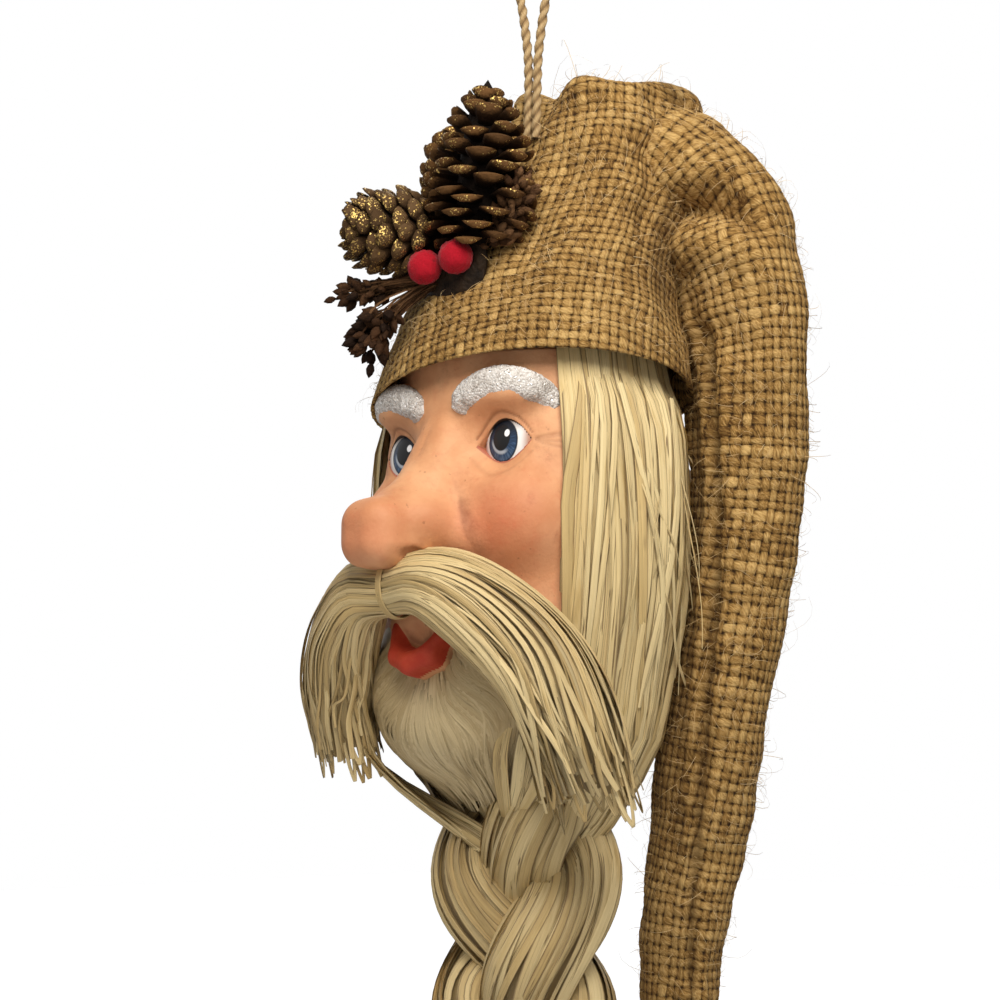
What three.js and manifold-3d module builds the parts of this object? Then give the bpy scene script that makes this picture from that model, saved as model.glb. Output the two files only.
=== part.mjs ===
// A Santa head wall hanging: a painted mask on a foam core, with raffia hair, moustache and plaited beard,
// under a long stuffed burlap cap that is trimmed with pine cones and berries and hung from a twine loop.
// Millimetres, +Z up, the face looks along -Y and the wall is at +Y. The exported group's origin is the top of
// the loop, where the nail bears. The head frame used below has its origin on the head's axis at the cap's rim.
import * as THREE from "three";
import { mergeVertices } from "three/addons/utils/BufferGeometryUtils.js";
import Module from "manifold-3d";

const wasm = await Module();
wasm.setup();

// Fits
const GAP = 0.35; // between pieces that touch
const FACET = 0.12; // facets flatter than this are merged
const SWING_STEP = 5; // degrees between the poses that a swinging end is cut clear of

// Head and its foam core
const HEAD_HALF_WIDTH = 57; // over the hair
const HEAD_FRONT = 46; // axis to the brow
const HAIR_FRONT = 50; // reach of the hair's front edge, were it to meet before the brow
const HEAD_REAR = 48; // axis to the back of the hair
const WALL_DEPTH = 50; // axis to the wall
const BOARD_THICKNESS = 4;
const BOARD_HALF_WIDTH = 34;
const BOARD_TOP = -14;
const BOARD_BOTTOM = -108;
const BOARD_CORNER = 26;
const CORE_HALF_WIDTH = 42;
const CORE_FRONT = 36;
const CORE_REAR = 56; // before the back is sliced flat for the board
const CORE_TOP = 50;
const CORE_BOTTOM = -122;
const CORE_CLEARANCE = 1; // between the faceted core and the mask

// Face mask
const MASK_HALF_ANGLE = 57; // degrees each side of the nose
const MASK_HALF_WIDTH = 52;
const MASK_TOP = 9;
const MASK_BOTTOM = -124;
const NOSE_LENGTH = 32;
const NOSE_HALF_WIDTH = 16;
const NOSE_TIP = -50;
const EYE_X = 23;
const EYE_Z = -21;
const SOCKET_DEPTH = 6.5;
const SOCKET_RADIUS = 9;
const EYEBALL_RISE = 4;
const EYEBALL_RADIUS = 6;
const CHEEK_RISE = 4.5;
const LIP_RISE = 5;
const LIP_Z = -89;
const BROW_RADIUS = 5.4;

// Raffia
const TUFT_HALF_ANGLE = 49;
const TUFT_TOP = -94;
const TUFT_BOTTOM = -130;
const TUFT_RISE = 6.5;
const TUFT_CLEARANCE = 1; // between the husk and the faceted mask
const HAIR_THICKNESS = 12.5;
const HAIR_REAR_ANGLE = 152;
const HAIR_TOP = 10;
const HAIR_BOTTOM = -133;
const HAIR_LOCKS = 7; // ridges on each side
const WING_RADIUS = 14.5;
const WING_RIDGES = 8;
const RIDGE = 0.7; // height of a raffia ridge
const TIE_RADIUS = 9;
const TIE_WIDTH = 5;
const BRAID_X = 2;
const BRAID_Y = -5;
const BRAID_TOP = -134;
const BRAID_LENGTH = 128;
const BRAID_PERIOD = 132;
const BRAID_SPREAD = 17; // sideways reach of a strand's centreline
const BRAID_DEPTH = 8.5;
const STRAND_RADIUS = 14.5;
const BRAID_TAPER = 0.52; // size of the braid at its tie
const BEARD_TIE_WIDTH = 9;
const BEARD_TIE_WALL = 2.6;
const TASSEL_LENGTH = 62;
const TASSEL_RADIUS = 19;

// Burlap cap
const CLOTH = 2;
const RIM_HALF_WIDTH = 57.5;
const RIM_DEPTH = 48.5;
const RIM_Z = -3;
const RIM_TILT_X = 0.11; // rise of the rim towards the wearer's left
const RIM_TILT_Y = -0.13; // fall of the rim towards the wall
const CROWN_TOP = 104;
const TAIL_HALF_WIDTH = 21;
const TAIL_HALF_DEPTH = 13;

// Trim on the front of the cap
const BIG_CONE_LENGTH = 52;
const BIG_CONE_RADIUS = 17.5;
const SMALL_CONE_LENGTH = 33;
const SMALL_CONE_RADIUS = 14.5;
const BERRY_RADIUS = 5.5;
const SPRIG_STEM = 1.6;
const SPRIG_HEAD = 5;
const PAD_RADIUS = 15;
const PAD_THICKNESS = 5;

// Twine loop
const TWINE_DIAMETER = 3.2;

// Ranges of the joints that the swinging ends are cut to clear, in degrees
const TAIL_SWING = 15;
const BRAID_LIFT = 25;

const rad = THREE.MathUtils.degToRad;
const smooth = (x, low, high) => THREE.MathUtils.smoothstep(x, low, high);
const vec = (x, y, z) => new THREE.Vector3(x, y, z);

// Straight-line value at x from a short list of [x, value] pairs, in rising order of x.
function profile(pairs, x) {
  if (x <= pairs[0][0]) return pairs[0][1];
  for (let i = 1; i < pairs.length; i++) {
    const [x0, y0] = pairs[i - 1];
    const [x1, y1] = pairs[i];
    if (x <= x1) return THREE.MathUtils.lerp(y0, y1, smooth(x, x0, x1));
  }
  return pairs[pairs.length - 1][1];
}

function geometryOf(points, triangles) {
  const geometry = new THREE.BufferGeometry();
  geometry.setAttribute("position", new THREE.Float32BufferAttribute(points.flatMap((p) => p.toArray()), 3));
  geometry.setIndex(triangles);
  return geometry;
}

// A closed solid from rings of equal count, first ring to last, with a fan of triangles over each end.
function loft(rings) {
  const sides = rings[0].length;
  const points = rings.flat();
  const triangles = [];
  for (let r = 0; r + 1 < rings.length; r++)
    for (let i = 0; i < sides; i++) {
      const a = r * sides + i;
      const b = r * sides + ((i + 1) % sides);
      triangles.push(a, b, b + sides, a, b + sides, a + sides);
    }
  const last = (rings.length - 1) * sides;
  const centre = (ring) => ring.reduce((sum, p) => sum.add(p), vec(0, 0, 0)).divideScalar(sides);
  const low = points.push(centre(rings[0])) - 1;
  const high = points.push(centre(rings[rings.length - 1])) - 1;
  for (let i = 0; i < sides; i++) {
    const j = (i + 1) % sides;
    triangles.push(low, j, i, high, last + i, last + j);
  }
  return geometryOf(points, triangles);
}

// A closed solid between two surfaces of the same two parameters, each running from 0 to 1.
function slab(outer, inner, across, along) {
  const points = [];
  for (const surface of [outer, inner])
    for (let j = 0; j <= along; j++) for (let i = 0; i <= across; i++) points.push(surface(i / across, j / along));
  const at = (side, i, j) => (side * (along + 1) + j) * (across + 1) + i;
  const triangles = [];
  const quad = (a, b, c, d) => triangles.push(a, b, c, a, c, d);
  for (let j = 0; j < along; j++)
    for (let i = 0; i < across; i++) {
      quad(at(0, i, j), at(0, i + 1, j), at(0, i + 1, j + 1), at(0, i, j + 1));
      quad(at(1, i, j), at(1, i, j + 1), at(1, i + 1, j + 1), at(1, i + 1, j));
    }
  for (let j = 0; j < along; j++) {
    quad(at(0, 0, j), at(0, 0, j + 1), at(1, 0, j + 1), at(1, 0, j));
    quad(at(0, across, j), at(1, across, j), at(1, across, j + 1), at(0, across, j + 1));
  }
  for (let i = 0; i < across; i++) {
    quad(at(0, i, 0), at(1, i, 0), at(1, i + 1, 0), at(0, i + 1, 0));
    quad(at(0, i, along), at(0, i + 1, along), at(1, i + 1, along), at(1, i, along));
  }
  return geometryOf(points, triangles);
}

// Rings of a tube along a path. section(t, angle) gives the reach from the path along the side and depth axes.
// The depth axis stays as near to `upright` as the path allows. The last `short` steps can be left off.
function tube(path, steps, sides, section, upright, short = 0) {
  const rings = [];
  for (let s = 0; s <= steps - short; s++) {
    const t = s / steps;
    const tangent = path.getTangentAt(t);
    const depth = upright.clone().addScaledVector(tangent, -upright.dot(tangent)).normalize();
    const side = depth.clone().cross(tangent);
    const ring = [];
    for (let i = 0; i < sides; i++) {
      const [x, y] = section(t, (2 * Math.PI * i) / sides);
      ring.push(path.getPointAt(t).addScaledVector(side, x).addScaledVector(depth, y));
    }
    rings.push(ring);
  }
  return loft(rings);
}

const curve = (...points) => new THREE.CatmullRomCurve3(points.map((p) => vec(...p)), false, "centripetal");

// Solids for cutting and joining.
function solid(geometry) {
  const bare = geometry.clone();
  bare.deleteAttribute("normal");
  bare.deleteAttribute("uv");
  const merged = mergeVertices(bare, 1e-4);
  const made = new wasm.Manifold(
    new wasm.Mesh({
      numProp: 3,
      vertProperties: merged.attributes.position.array,
      triVerts: new Uint32Array(merged.index.array),
    }),
  );
  if (made.volume() > 0) return made;
  const turned = new Uint32Array(merged.index.array);
  for (let i = 0; i < turned.length; i += 3) [turned[i + 1], turned[i + 2]] = [turned[i + 2], turned[i + 1]];
  const vertProperties = merged.attributes.position.array;
  return new wasm.Manifold(new wasm.Mesh({ numProp: 3, vertProperties, triVerts: turned }));
}

// The largest body left of a solid once the tools are taken away.
function cut(from, ...tools) {
  const left = tools.reduce((sum, tool) => sum.subtract(tool), from);
  return left.decompose().reduce((best, body) => (body.volume() > best.volume() ? body : best));
}

// A solid turned about an axis through a point, by degrees.
function turned(body, point, axis, degrees) {
  const matrix = new THREE.Matrix4()
    .makeTranslation(point.x, point.y, point.z)
    .multiply(new THREE.Matrix4().makeRotationAxis(axis, rad(degrees)))
    .multiply(new THREE.Matrix4().makeTranslation(-point.x, -point.y, -point.z));
  return body.transform(matrix.elements);
}

// Everything that a fixed solid sweeps, seen from a piece that swings from `low` to `high` degrees.
function swept(body, point, axis, low, high) {
  const steps = Math.max(1, Math.ceil((high - low) / SWING_STEP));
  let all = turned(body, point, axis, -low);
  for (let s = 1; s <= steps; s++) all = all.add(turned(body, point, axis, -(low + ((high - low) * s) / steps)));
  return all;
}

const root = new THREE.Group();
const head = new THREE.Group();
root.add(head);

const MATERIALS = {
  burlap: new THREE.MeshStandardMaterial({ color: 0x9a7442, roughness: 0.95 }),
  stuffing: new THREE.MeshStandardMaterial({ color: 0xe6e2d8, roughness: 1 }),
  foam: new THREE.MeshStandardMaterial({ color: 0xf1efe8, roughness: 0.9 }),
  board: new THREE.MeshStandardMaterial({ color: 0x8a6a48, roughness: 0.85 }),
  skin: new THREE.MeshStandardMaterial({ color: 0xd99a76, roughness: 0.5 }),
  flock: new THREE.MeshStandardMaterial({ color: 0xe9e6e1, roughness: 0.95 }),
  raffia: new THREE.MeshStandardMaterial({ color: 0xc0a878, roughness: 0.6 }),
  husk: new THREE.MeshStandardMaterial({ color: 0xb8a888, roughness: 0.45 }),
  cone: new THREE.MeshStandardMaterial({ color: 0x4a3220, roughness: 0.8 }),
  berry: new THREE.MeshStandardMaterial({ color: 0xb3121f, roughness: 0.6 }),
  sprig: new THREE.MeshStandardMaterial({ color: 0x3d2716, roughness: 0.9 }),
  glue: new THREE.MeshStandardMaterial({ color: 0xd9cfb8, roughness: 0.4 }),
  twine: new THREE.MeshStandardMaterial({ color: 0xb59561, roughness: 0.95 }),
};

function place(name, body, material) {
  const m = body.simplify(FACET).getMesh();
  const geometry = new THREE.BufferGeometry();
  geometry.setAttribute("position", new THREE.BufferAttribute(m.vertProperties, m.numProp));
  geometry.setIndex(new THREE.BufferAttribute(m.triVerts, 1));
  const mesh = new THREE.Mesh(geometry, MATERIALS[material]);
  mesh.name = name;
  head.add(mesh);
  return body;
}

// Foam core: an egg whose back is sliced flat for the board.
const BOARD_FRONT = WALL_DEPTH - BOARD_THICKNESS;
const CORE_MIDDLE = (CORE_TOP + CORE_BOTTOM) / 2;
const CORE_HALF_HEIGHT = (CORE_TOP - CORE_BOTTOM) / 2;
const CORE_END = 0.985; // where the egg's ends are cut off, as a share of its half height

function coreReach(z) {
  const share = THREE.MathUtils.clamp((z - CORE_MIDDLE) / CORE_HALF_HEIGHT, -CORE_END, CORE_END);
  return Math.sqrt(1 - share * share);
}

function core(grow) {
  const sides = 24;
  const steps = 12;
  const rings = [];
  for (let s = 0; s <= steps; s++) {
    const share = Math.sin(rad(THREE.MathUtils.lerp(-80, 80, s / steps)));
    const z = CORE_MIDDLE + share * (CORE_HALF_HEIGHT + grow);
    const reach = Math.sqrt(1 - share * share);
    const ring = [];
    for (let i = 0; i < sides; i++) {
      const angle = (2 * Math.PI * i) / sides;
      const depth = (Math.cos(angle) > 0 ? CORE_FRONT : CORE_REAR) + grow;
      const y = Math.min(-depth * reach * Math.cos(angle), BOARD_FRONT - GAP + grow);
      ring.push(vec((CORE_HALF_WIDTH + grow) * reach * Math.sin(angle), y, z));
    }
    rings.push(ring);
  }
  return solid(loft(rings));
}

// Board behind the core: a rounded rectangle whose rear face rests on the wall.
function board() {
  const outline = new THREE.Shape();
  const w = BOARD_HALF_WIDTH;
  const c = Math.min(BOARD_CORNER, w);
  outline.moveTo(-w, BOARD_BOTTOM + c);
  outline.absarc(-w + c, BOARD_BOTTOM + c, c, Math.PI, 1.5 * Math.PI);
  outline.absarc(w - c, BOARD_BOTTOM + c, c, 1.5 * Math.PI, 2 * Math.PI);
  outline.absarc(w - c, BOARD_TOP - c, c, 0, 0.5 * Math.PI);
  outline.absarc(-w + c, BOARD_TOP - c, c, 0.5 * Math.PI, Math.PI);
  const plate = new THREE.ExtrudeGeometry(outline, { depth: BOARD_THICKNESS, bevelEnabled: false, curveSegments: 6 });
  plate.rotateX(Math.PI / 2);
  plate.translate(0, WALL_DEPTH, 0);
  return solid(plate);
}

// Face mask: height of the painted face over a plain oval, as a sum of rounded features.
const FACE_OUTLINE = [
  [MASK_BOTTOM, 0.62],
  [-104, 0.9],
  [-62, 1],
  [-18, 1],
  [MASK_TOP, 0.86],
];
const bump = (x, z, cx, cz, rx, rz) => Math.exp(-(((x - cx) / rx) ** 2) - ((z - cz) / rz) ** 2);

function faceRise(x, z) {
  const noseHeight = profile(
    [
      [NOSE_TIP - 17, 0],
      [NOSE_TIP - 10, 0.82 * NOSE_LENGTH],
      [NOSE_TIP - 4, NOSE_LENGTH],
      [NOSE_TIP + 2, NOSE_LENGTH],
      [NOSE_TIP + 10, 0.76 * NOSE_LENGTH],
      [NOSE_TIP + 20, 0.42 * NOSE_LENGTH],
      [EYE_Z + 2, 0.18 * NOSE_LENGTH],
      [EYE_Z + 14, 0],
    ],
    z,
  );
  const noseWidth = NOSE_HALF_WIDTH * profile([[NOSE_TIP, 1], [EYE_Z, 0.5]], z);
  const side = Math.abs(x);
  return (
    noseHeight * Math.exp(-((side / noseWidth) ** 2.6)) -
    SOCKET_DEPTH * bump(side, z, EYE_X, EYE_Z, SOCKET_RADIUS, SOCKET_RADIUS) +
    EYEBALL_RISE * bump(side, z, EYE_X, EYE_Z, EYEBALL_RADIUS, EYEBALL_RADIUS) +
    CHEEK_RISE * bump(side, z, EYE_X + 2, NOSE_TIP + 4, 15, 15) +
    LIP_RISE * bump(x, z, 0, LIP_Z, 12, 7)
  );
}

// Point on the face at an angle from the nose and a height, pushed out by `grow`.
function facePoint(degrees, z, grow) {
  const scale = profile(FACE_OUTLINE, z);
  const x = MASK_HALF_WIDTH * scale * Math.sin(rad(degrees));
  const out = faceRise(x, z) + grow;
  const away = vec(Math.sin(rad(degrees)), -Math.cos(rad(degrees)), 0);
  return vec(x, -HEAD_FRONT * scale * Math.cos(rad(degrees)), z).addScaledVector(away, out);
}

// Point of the foam core's surface at an angle and a height, pushed out by `grow`.
function corePoint(degrees, z, grow) {
  const reach = coreReach(z);
  const depth = Math.cos(rad(degrees)) > 0 ? CORE_FRONT : CORE_REAR;
  const y = Math.min(-(depth * reach + grow) * Math.cos(rad(degrees)), BOARD_FRONT - GAP);
  return vec((CORE_HALF_WIDTH * reach + grow) * Math.sin(rad(degrees)), y, z);
}

function mask(grow) {
  const reach = MASK_HALF_ANGLE + THREE.MathUtils.RAD2DEG * (grow / HEAD_FRONT);
  const angle = (u) => THREE.MathUtils.lerp(-reach, reach, u);
  const height = (v) => THREE.MathUtils.lerp(MASK_BOTTOM - grow, MASK_TOP + grow, v);
  return solid(
    slab(
      (u, v) => facePoint(angle(u), height(v), grow),
      (u, v) => corePoint(angle(u), height(v), CORE_CLEARANCE - grow),
      18,
      20,
    ),
  );
}

// Flocked brows: half-round strips that lie on the mask.
function brow(side) {
  const on = (x, z, out) => facePoint(Math.asin(x / MASK_HALF_WIDTH) * THREE.MathUtils.RAD2DEG, z, out).toArray();
  const path = curve(on(12, -13, 1), on(19, -5.5, 1.5), on(29, -3, 1.5), on(39, -10, 1));
  const section = (t, a) => {
    const reach = BROW_RADIUS * profile([[0, 0.72], [0.35, 1], [0.75, 0.85], [1, 0.5]], t);
    return [reach * Math.cos(a), reach * Math.sin(a)];
  };
  return solid(tube(path, 10, 12, section, vec(0, -1, 0)).scale(side, 1, 1));
}

// Raffia hair on each side: a thick curtain from under the rim to the top of the braid.
const HAIR_OUTLINE = [
  [HAIR_BOTTOM, 0.64],
  [-118, 0.78],
  [-98, 0.86],
  [-70, 0.97],
  [-44, 1],
  [-8, 0.93],
  [HAIR_TOP, 0.88],
];

function hairPoint(degrees, z, out) {
  const scale = profile(HAIR_OUTLINE, z);
  const depth = Math.cos(rad(degrees)) > 0 ? HAIR_FRONT : HEAD_REAR;
  const locks = RIDGE * Math.cos((rad(degrees) * HAIR_LOCKS * 360) / (HAIR_REAR_ANGLE - MASK_HALF_ANGLE));
  const x = (HEAD_HALF_WIDTH * scale + out + locks) * Math.sin(rad(degrees));
  return vec(x, -(depth * scale + out + locks) * Math.cos(rad(degrees)), z);
}

function sideHair(side, grow) {
  const turn = THREE.MathUtils.RAD2DEG * (grow / HEAD_FRONT);
  const angle = (u) => THREE.MathUtils.lerp(MASK_HALF_ANGLE + 1 - turn, HAIR_REAR_ANGLE + turn, u);
  const height = (v) => THREE.MathUtils.lerp(HAIR_BOTTOM - grow, HAIR_TOP + grow, v);
  const curtain = slab(
    (u, v) => hairPoint(angle(u), height(v), grow),
    (u, v) => hairPoint(angle(u), height(v), -HAIR_THICKNESS - grow),
    2 * HAIR_LOCKS,
    12,
  );
  return solid(curtain.scale(side, 1, 1));
}

// Husk tuft on the chin: a combed fan from under the lip to the bottom of the mask.
function tuft(grow) {
  const reach = (v) => TUFT_HALF_ANGLE * profile([[0, 0.7], [0.5, 1], [1, 0.55]], v);
  const angle = (u, v) => THREE.MathUtils.lerp(-reach(v), reach(v), u);
  const height = (v) => THREE.MathUtils.lerp(TUFT_BOTTOM - grow, TUFT_TOP + grow, v);
  const rise = (u, v) => TUFT_RISE * Math.sin(Math.PI * u) ** 0.5 * profile([[0, 0.5], [0.45, 1], [1, 0.12]], v);
  return solid(
    slab(
      (u, v) => facePoint(angle(u, v), height(v), TUFT_CLEARANCE + 0.8 + rise(u, v) + grow),
      (u, v) => facePoint(angle(u, v), height(v), TUFT_CLEARANCE - grow),
      14,
      9,
    ),
  );
}

// Moustache wings: ridged bundles that sweep from the tie round the cheeks and down.
const TIE_CENTRE = [0, -58.8, -67.3];

const WING_ENDS = {
  1: [[27, -54, -73], [45, -43, -92], [51.5, -34.5, -112], [52, -28, -130]],
  [-1]: [[27, -55, -77], [41, -47, -96], [45, -39, -116]],
};

function wing(side, grow) {
  const path = curve([TIE_WIDTH / 2 + GAP, TIE_CENTRE[1], -67], [12, -58.5, -67], ...WING_ENDS[side]);
  const section = (t, a) => {
    const ridge = RIDGE * Math.cos(WING_RIDGES * a);
    const reach = WING_RADIUS * profile([[0, 0.56], [0.25, 0.88], [0.7, 1], [1, 0.8]], t) + ridge + grow;
    return [reach * Math.cos(a), 0.82 * reach * Math.sin(a)];
  };
  return solid(tube(path, 12, 2 * WING_RIDGES, section, vec(0, -1, 0)).scale(side, 1, 1));
}

// Raffia wrap round the middle of the moustache.
function moustacheTie(grow) {
  const half = TIE_WIDTH / 2 + grow;
  const reach = TIE_RADIUS + grow;
  const ring = new THREE.LatheGeometry(
    [
      new THREE.Vector2(0, -half),
      new THREE.Vector2(0.8 * reach, -half),
      new THREE.Vector2(reach, 0),
      new THREE.Vector2(0.8 * reach, half),
      new THREE.Vector2(0, half),
    ],
    16,
  );
  ring.rotateZ(Math.PI / 2);
  ring.scale(1, 0.82, 1);
  ring.translate(...TIE_CENTRE);
  return solid(ring);
}

// Plaited beard: strand k of three follows a figure of eight, a third of a period apart.
function braidSize(t) {
  return THREE.MathUtils.lerp(1, BRAID_TAPER, smooth(t, 0.45, 1));
}

function strand(k, grow) {
  const steps = 22;
  const points = [];
  for (let s = 0; s <= steps; s++) {
    const t = s / steps;
    const phase = 2 * Math.PI * ((t * BRAID_LENGTH) / BRAID_PERIOD + k / 3);
    const x = BRAID_X + BRAID_SPREAD * braidSize(t) * Math.sin(phase);
    const y = BRAID_Y + BRAID_DEPTH * braidSize(t) * Math.sin(2 * phase);
    points.push([x, y, BRAID_TOP - t * BRAID_LENGTH]);
  }
  const section = (t, a) => {
    const reach = STRAND_RADIUS * braidSize(t) + grow;
    return [reach * Math.cos(a), 0.92 * reach * Math.sin(a)];
  };
  return solid(tube(curve(...points), steps, 12, section, vec(0, -1, 0)));
}

// Wrap at the end of the braid, and the loose tassel below it.
const BRAID_END = BRAID_TOP - BRAID_LENGTH;
const NECK_X = (BRAID_SPREAD + STRAND_RADIUS) * BRAID_TAPER;
const NECK_Y = (BRAID_DEPTH + 0.92 * STRAND_RADIUS) * BRAID_TAPER;

function beardTie() {
  const outer = new THREE.CylinderGeometry(1, 1, BEARD_TIE_WIDTH, 24);
  const inner = new THREE.CylinderGeometry(1, 1, 2 * BEARD_TIE_WIDTH, 24);
  for (const [tubeShape, wall] of [[outer, GAP + BEARD_TIE_WALL], [inner, GAP]]) {
    tubeShape.rotateX(Math.PI / 2);
    tubeShape.scale(NECK_X + wall, NECK_Y + wall, 1);
    tubeShape.translate(BRAID_X, BRAID_Y, BRAID_END + BEARD_TIE_WIDTH / 2);
  }
  return solid(outer).subtract(solid(inner));
}

function tassel() {
  const top = BRAID_END - GAP;
  const path = curve([BRAID_X, BRAID_Y, top], [BRAID_X, BRAID_Y, top - TASSEL_LENGTH]);
  const section = (t, a) => {
    const flare = profile([[0, 0.62], [0.35, 0.92], [0.8, 1], [1, 0.86]], t);
    const reach = TASSEL_RADIUS * flare + RIDGE * Math.cos(9 * a);
    return [reach * Math.cos(a), 0.85 * reach * Math.sin(a)];
  };
  return solid(tube(path, 6, 18, section, vec(0, -1, 0)));
}

// Burlap crown: leaning, narrowing rings over the head, closed over the top. `inset` shrinks it for its lining.
const CROWN_RINGS = [
  { z: RIM_Z, x: 0, y: 0, w: RIM_HALF_WIDTH, d: RIM_DEPTH },
  { z: 16, x: 1, y: 1.5, w: RIM_HALF_WIDTH - 4.5, d: RIM_DEPTH - 4.5 },
  { z: 38, x: 3.5, y: 4.5, w: 46, d: 38.5 },
  { z: 60, x: 8, y: 12, w: 39.5, d: 33 },
  { z: 80, x: 12.5, y: 16.5, w: 34, d: 28.5 },
  { z: CROWN_TOP - 14, x: 12.5, y: 18.2, w: 32, d: 26.5 },
  { z: CROWN_TOP - 5, x: 13, y: 18.6, w: 28.5, d: 23 },
  { z: CROWN_TOP, x: 13, y: 19, w: 20, d: 14.5 },
];

function crown(inset, low) {
  const sides = 26;
  const rings = CROWN_RINGS.map((r, index) => {
    const drop = index === 0 ? low : 0;
    const top = index > 4 ? inset : 0;
    const ring = [];
    for (let i = 0; i < sides; i++) {
      const angle = (2 * Math.PI * i) / sides;
      const fold = 1 + 0.018 * Math.cos(5 * angle + 0.6 * index);
      const x = r.x + Math.max(r.w - inset, 1) * fold * Math.sin(angle);
      const y = r.y - Math.max(r.d - inset, 1) * fold * Math.cos(angle);
      const level = 1 - smooth(r.z, RIM_Z, 60);
      ring.push(vec(x, y, r.z - drop - top + level * (RIM_TILT_X * x + RIM_TILT_Y * y)));
    }
    return ring;
  });
  return solid(loft(rings));
}

// Burlap tail: folds over from the top of the crown and hangs beside the head, tapering to a tip.
const TAIL_PATH = curve(
  [18, 22, 74],
  [36, 27, 77],
  [51, 33, 62],
  [60.5, 36, 38],
  [64, 36.5, 10],
  [63, 36.5, -20],
  [58, 36, -56],
  [51, 35, -95],
  [42.5, 33.5, -135],
  [36.5, 32.5, -168],
  [34, 32, -200],
  [34, 32, -232],
);
const TAIL_STEPS = 24;
const TAIL_WIDTHS = [[0, 0.85], [0.08, 1], [0.3, 1], [0.7, 0.87], [0.86, 0.72], [0.95, 0.5], [1, 0.16]];
const TAIL_DEPTHS = [[0, 1.25], [0.14, 1.25], [0.3, 1], [0.7, 1], [0.86, 0.86], [0.95, 0.6], [1, 0.2]];

function tail(inset, sides, short) {
  const section = (t, a) => {
    const swell = 1 + 0.03 * Math.sin(26 * t) * Math.cos(a);
    const w = Math.max(TAIL_HALF_WIDTH * profile(TAIL_WIDTHS, t) * swell - inset, 1);
    const d = Math.max(TAIL_HALF_DEPTH * profile(TAIL_DEPTHS, t) - inset, 1);
    return [w * Math.cos(a), d * Math.sin(a)];
  };
  return solid(tube(TAIL_PATH, TAIL_STEPS, sides, section, vec(0, 1, 0), short));
}

// Pine cone: rows of overlapping scales round a barrel, from its base along an axis.
function pineCone(base, axis, length, radius, rows, grow) {
  const points = [new THREE.Vector2(0, 0)];
  for (let r = 0; r < rows; r++) {
    const t = (r + 0.5) / rows;
    const barrel = grow + radius * Math.sin(Math.PI * (0.16 + 0.76 * t)) ** 0.75;
    points.push(new THREE.Vector2(0.66 * barrel, (length * r) / rows));
    points.push(new THREE.Vector2(barrel, (length * (r + 0.75)) / rows));
  }
  points.push(new THREE.Vector2(0, length));
  const scales = 12;
  const shape = new THREE.LatheGeometry(points, scales);
  const position = shape.attributes.position;
  for (let i = 0; i < position.count; i++) {
    const x = position.getX(i);
    const z = position.getZ(i);
    const row = Math.floor((position.getY(i) / length) * rows);
    const petal = 1 + 0.13 * Math.cos((scales / 2) * Math.atan2(x, z) + Math.PI * row);
    position.setXYZ(i, x * petal, position.getY(i), z * petal);
  }
  const turn = new THREE.Quaternion().setFromUnitVectors(vec(0, 1, 0), vec(...axis).normalize());
  shape.applyQuaternion(turn);
  shape.translate(...base);
  return solid(shape);
}

function berry(centre, grow) {
  const ball = new THREE.SphereGeometry(BERRY_RADIUS + grow, 14, 10);
  ball.translate(...centre);
  return solid(ball);
}

const roundBar = (radius) => (t, a) => [radius * Math.cos(a), radius * Math.sin(a)];

// Dried seed head: a stem that swells into a knobbly head.
function sprig(points, grow) {
  const section = (t, a) => {
    const swell = THREE.MathUtils.lerp(SPRIG_STEM, SPRIG_HEAD, smooth(t, 0.2, 0.5));
    const reach = grow + swell * (1 + 0.16 * Math.cos(4 * a + 40 * t)) * (1 - 0.45 * smooth(t, 0.85, 1));
    return [reach * Math.cos(a), reach * Math.sin(a)];
  };
  return solid(tube(curve(...points), 9, 8, section, vec(0.2, -0.5, 1).normalize()));
}

// Twine loop: up from the front of the cap, round the nail and back down beside itself.
const LOOP_X = 12;
const LOOP_Y = -10;
const LOOP_TOP = vec(LOOP_X, LOOP_Y, 146);
const LEG = [
  [1.9, -1.2, 83],
  [1.9, -0.9, 91],
  [1.9, -0.6, 100],
  [2.3, -0.4, 111],
  [3.9, -0.2, 122],
  [6.2, 0, 133],
  [7.8, 0, 141],
  [7.2, 0, 148],
  [4.2, 0, 152.6],
];
const TOP_OF_BIGHT = [0, 0, 146 + 8];

function twine() {
  const rising = LEG.map(([x, y, z]) => [LOOP_X - x, LOOP_Y + y, z]);
  const falling = LEG.map(([x, y, z]) => [LOOP_X + x, LOOP_Y + y, z]).reverse();
  const bight = [LOOP_X + TOP_OF_BIGHT[0], LOOP_Y + TOP_OF_BIGHT[1], TOP_OF_BIGHT[2]];
  const path = curve(...rising, bight, ...falling);
  return solid(tube(path, 60, 8, roundBar(TWINE_DIAMETER / 2), vec(0, -1, 0)));
}

// Hinges of the swinging ends
const TAIL_HINGE = vec(40, 0, 82);
const BRAID_HINGE = vec(BRAID_X, BRAID_Y + 2, BRAID_TOP - 2);
const SWING_AXIS = vec(0, -1, 0);
const LIFT_AXIS = vec(-1, 0, 0);
const SIDES = [
  { name: "left", sign: 1 },
  { name: "right", sign: -1 },
];

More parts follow.
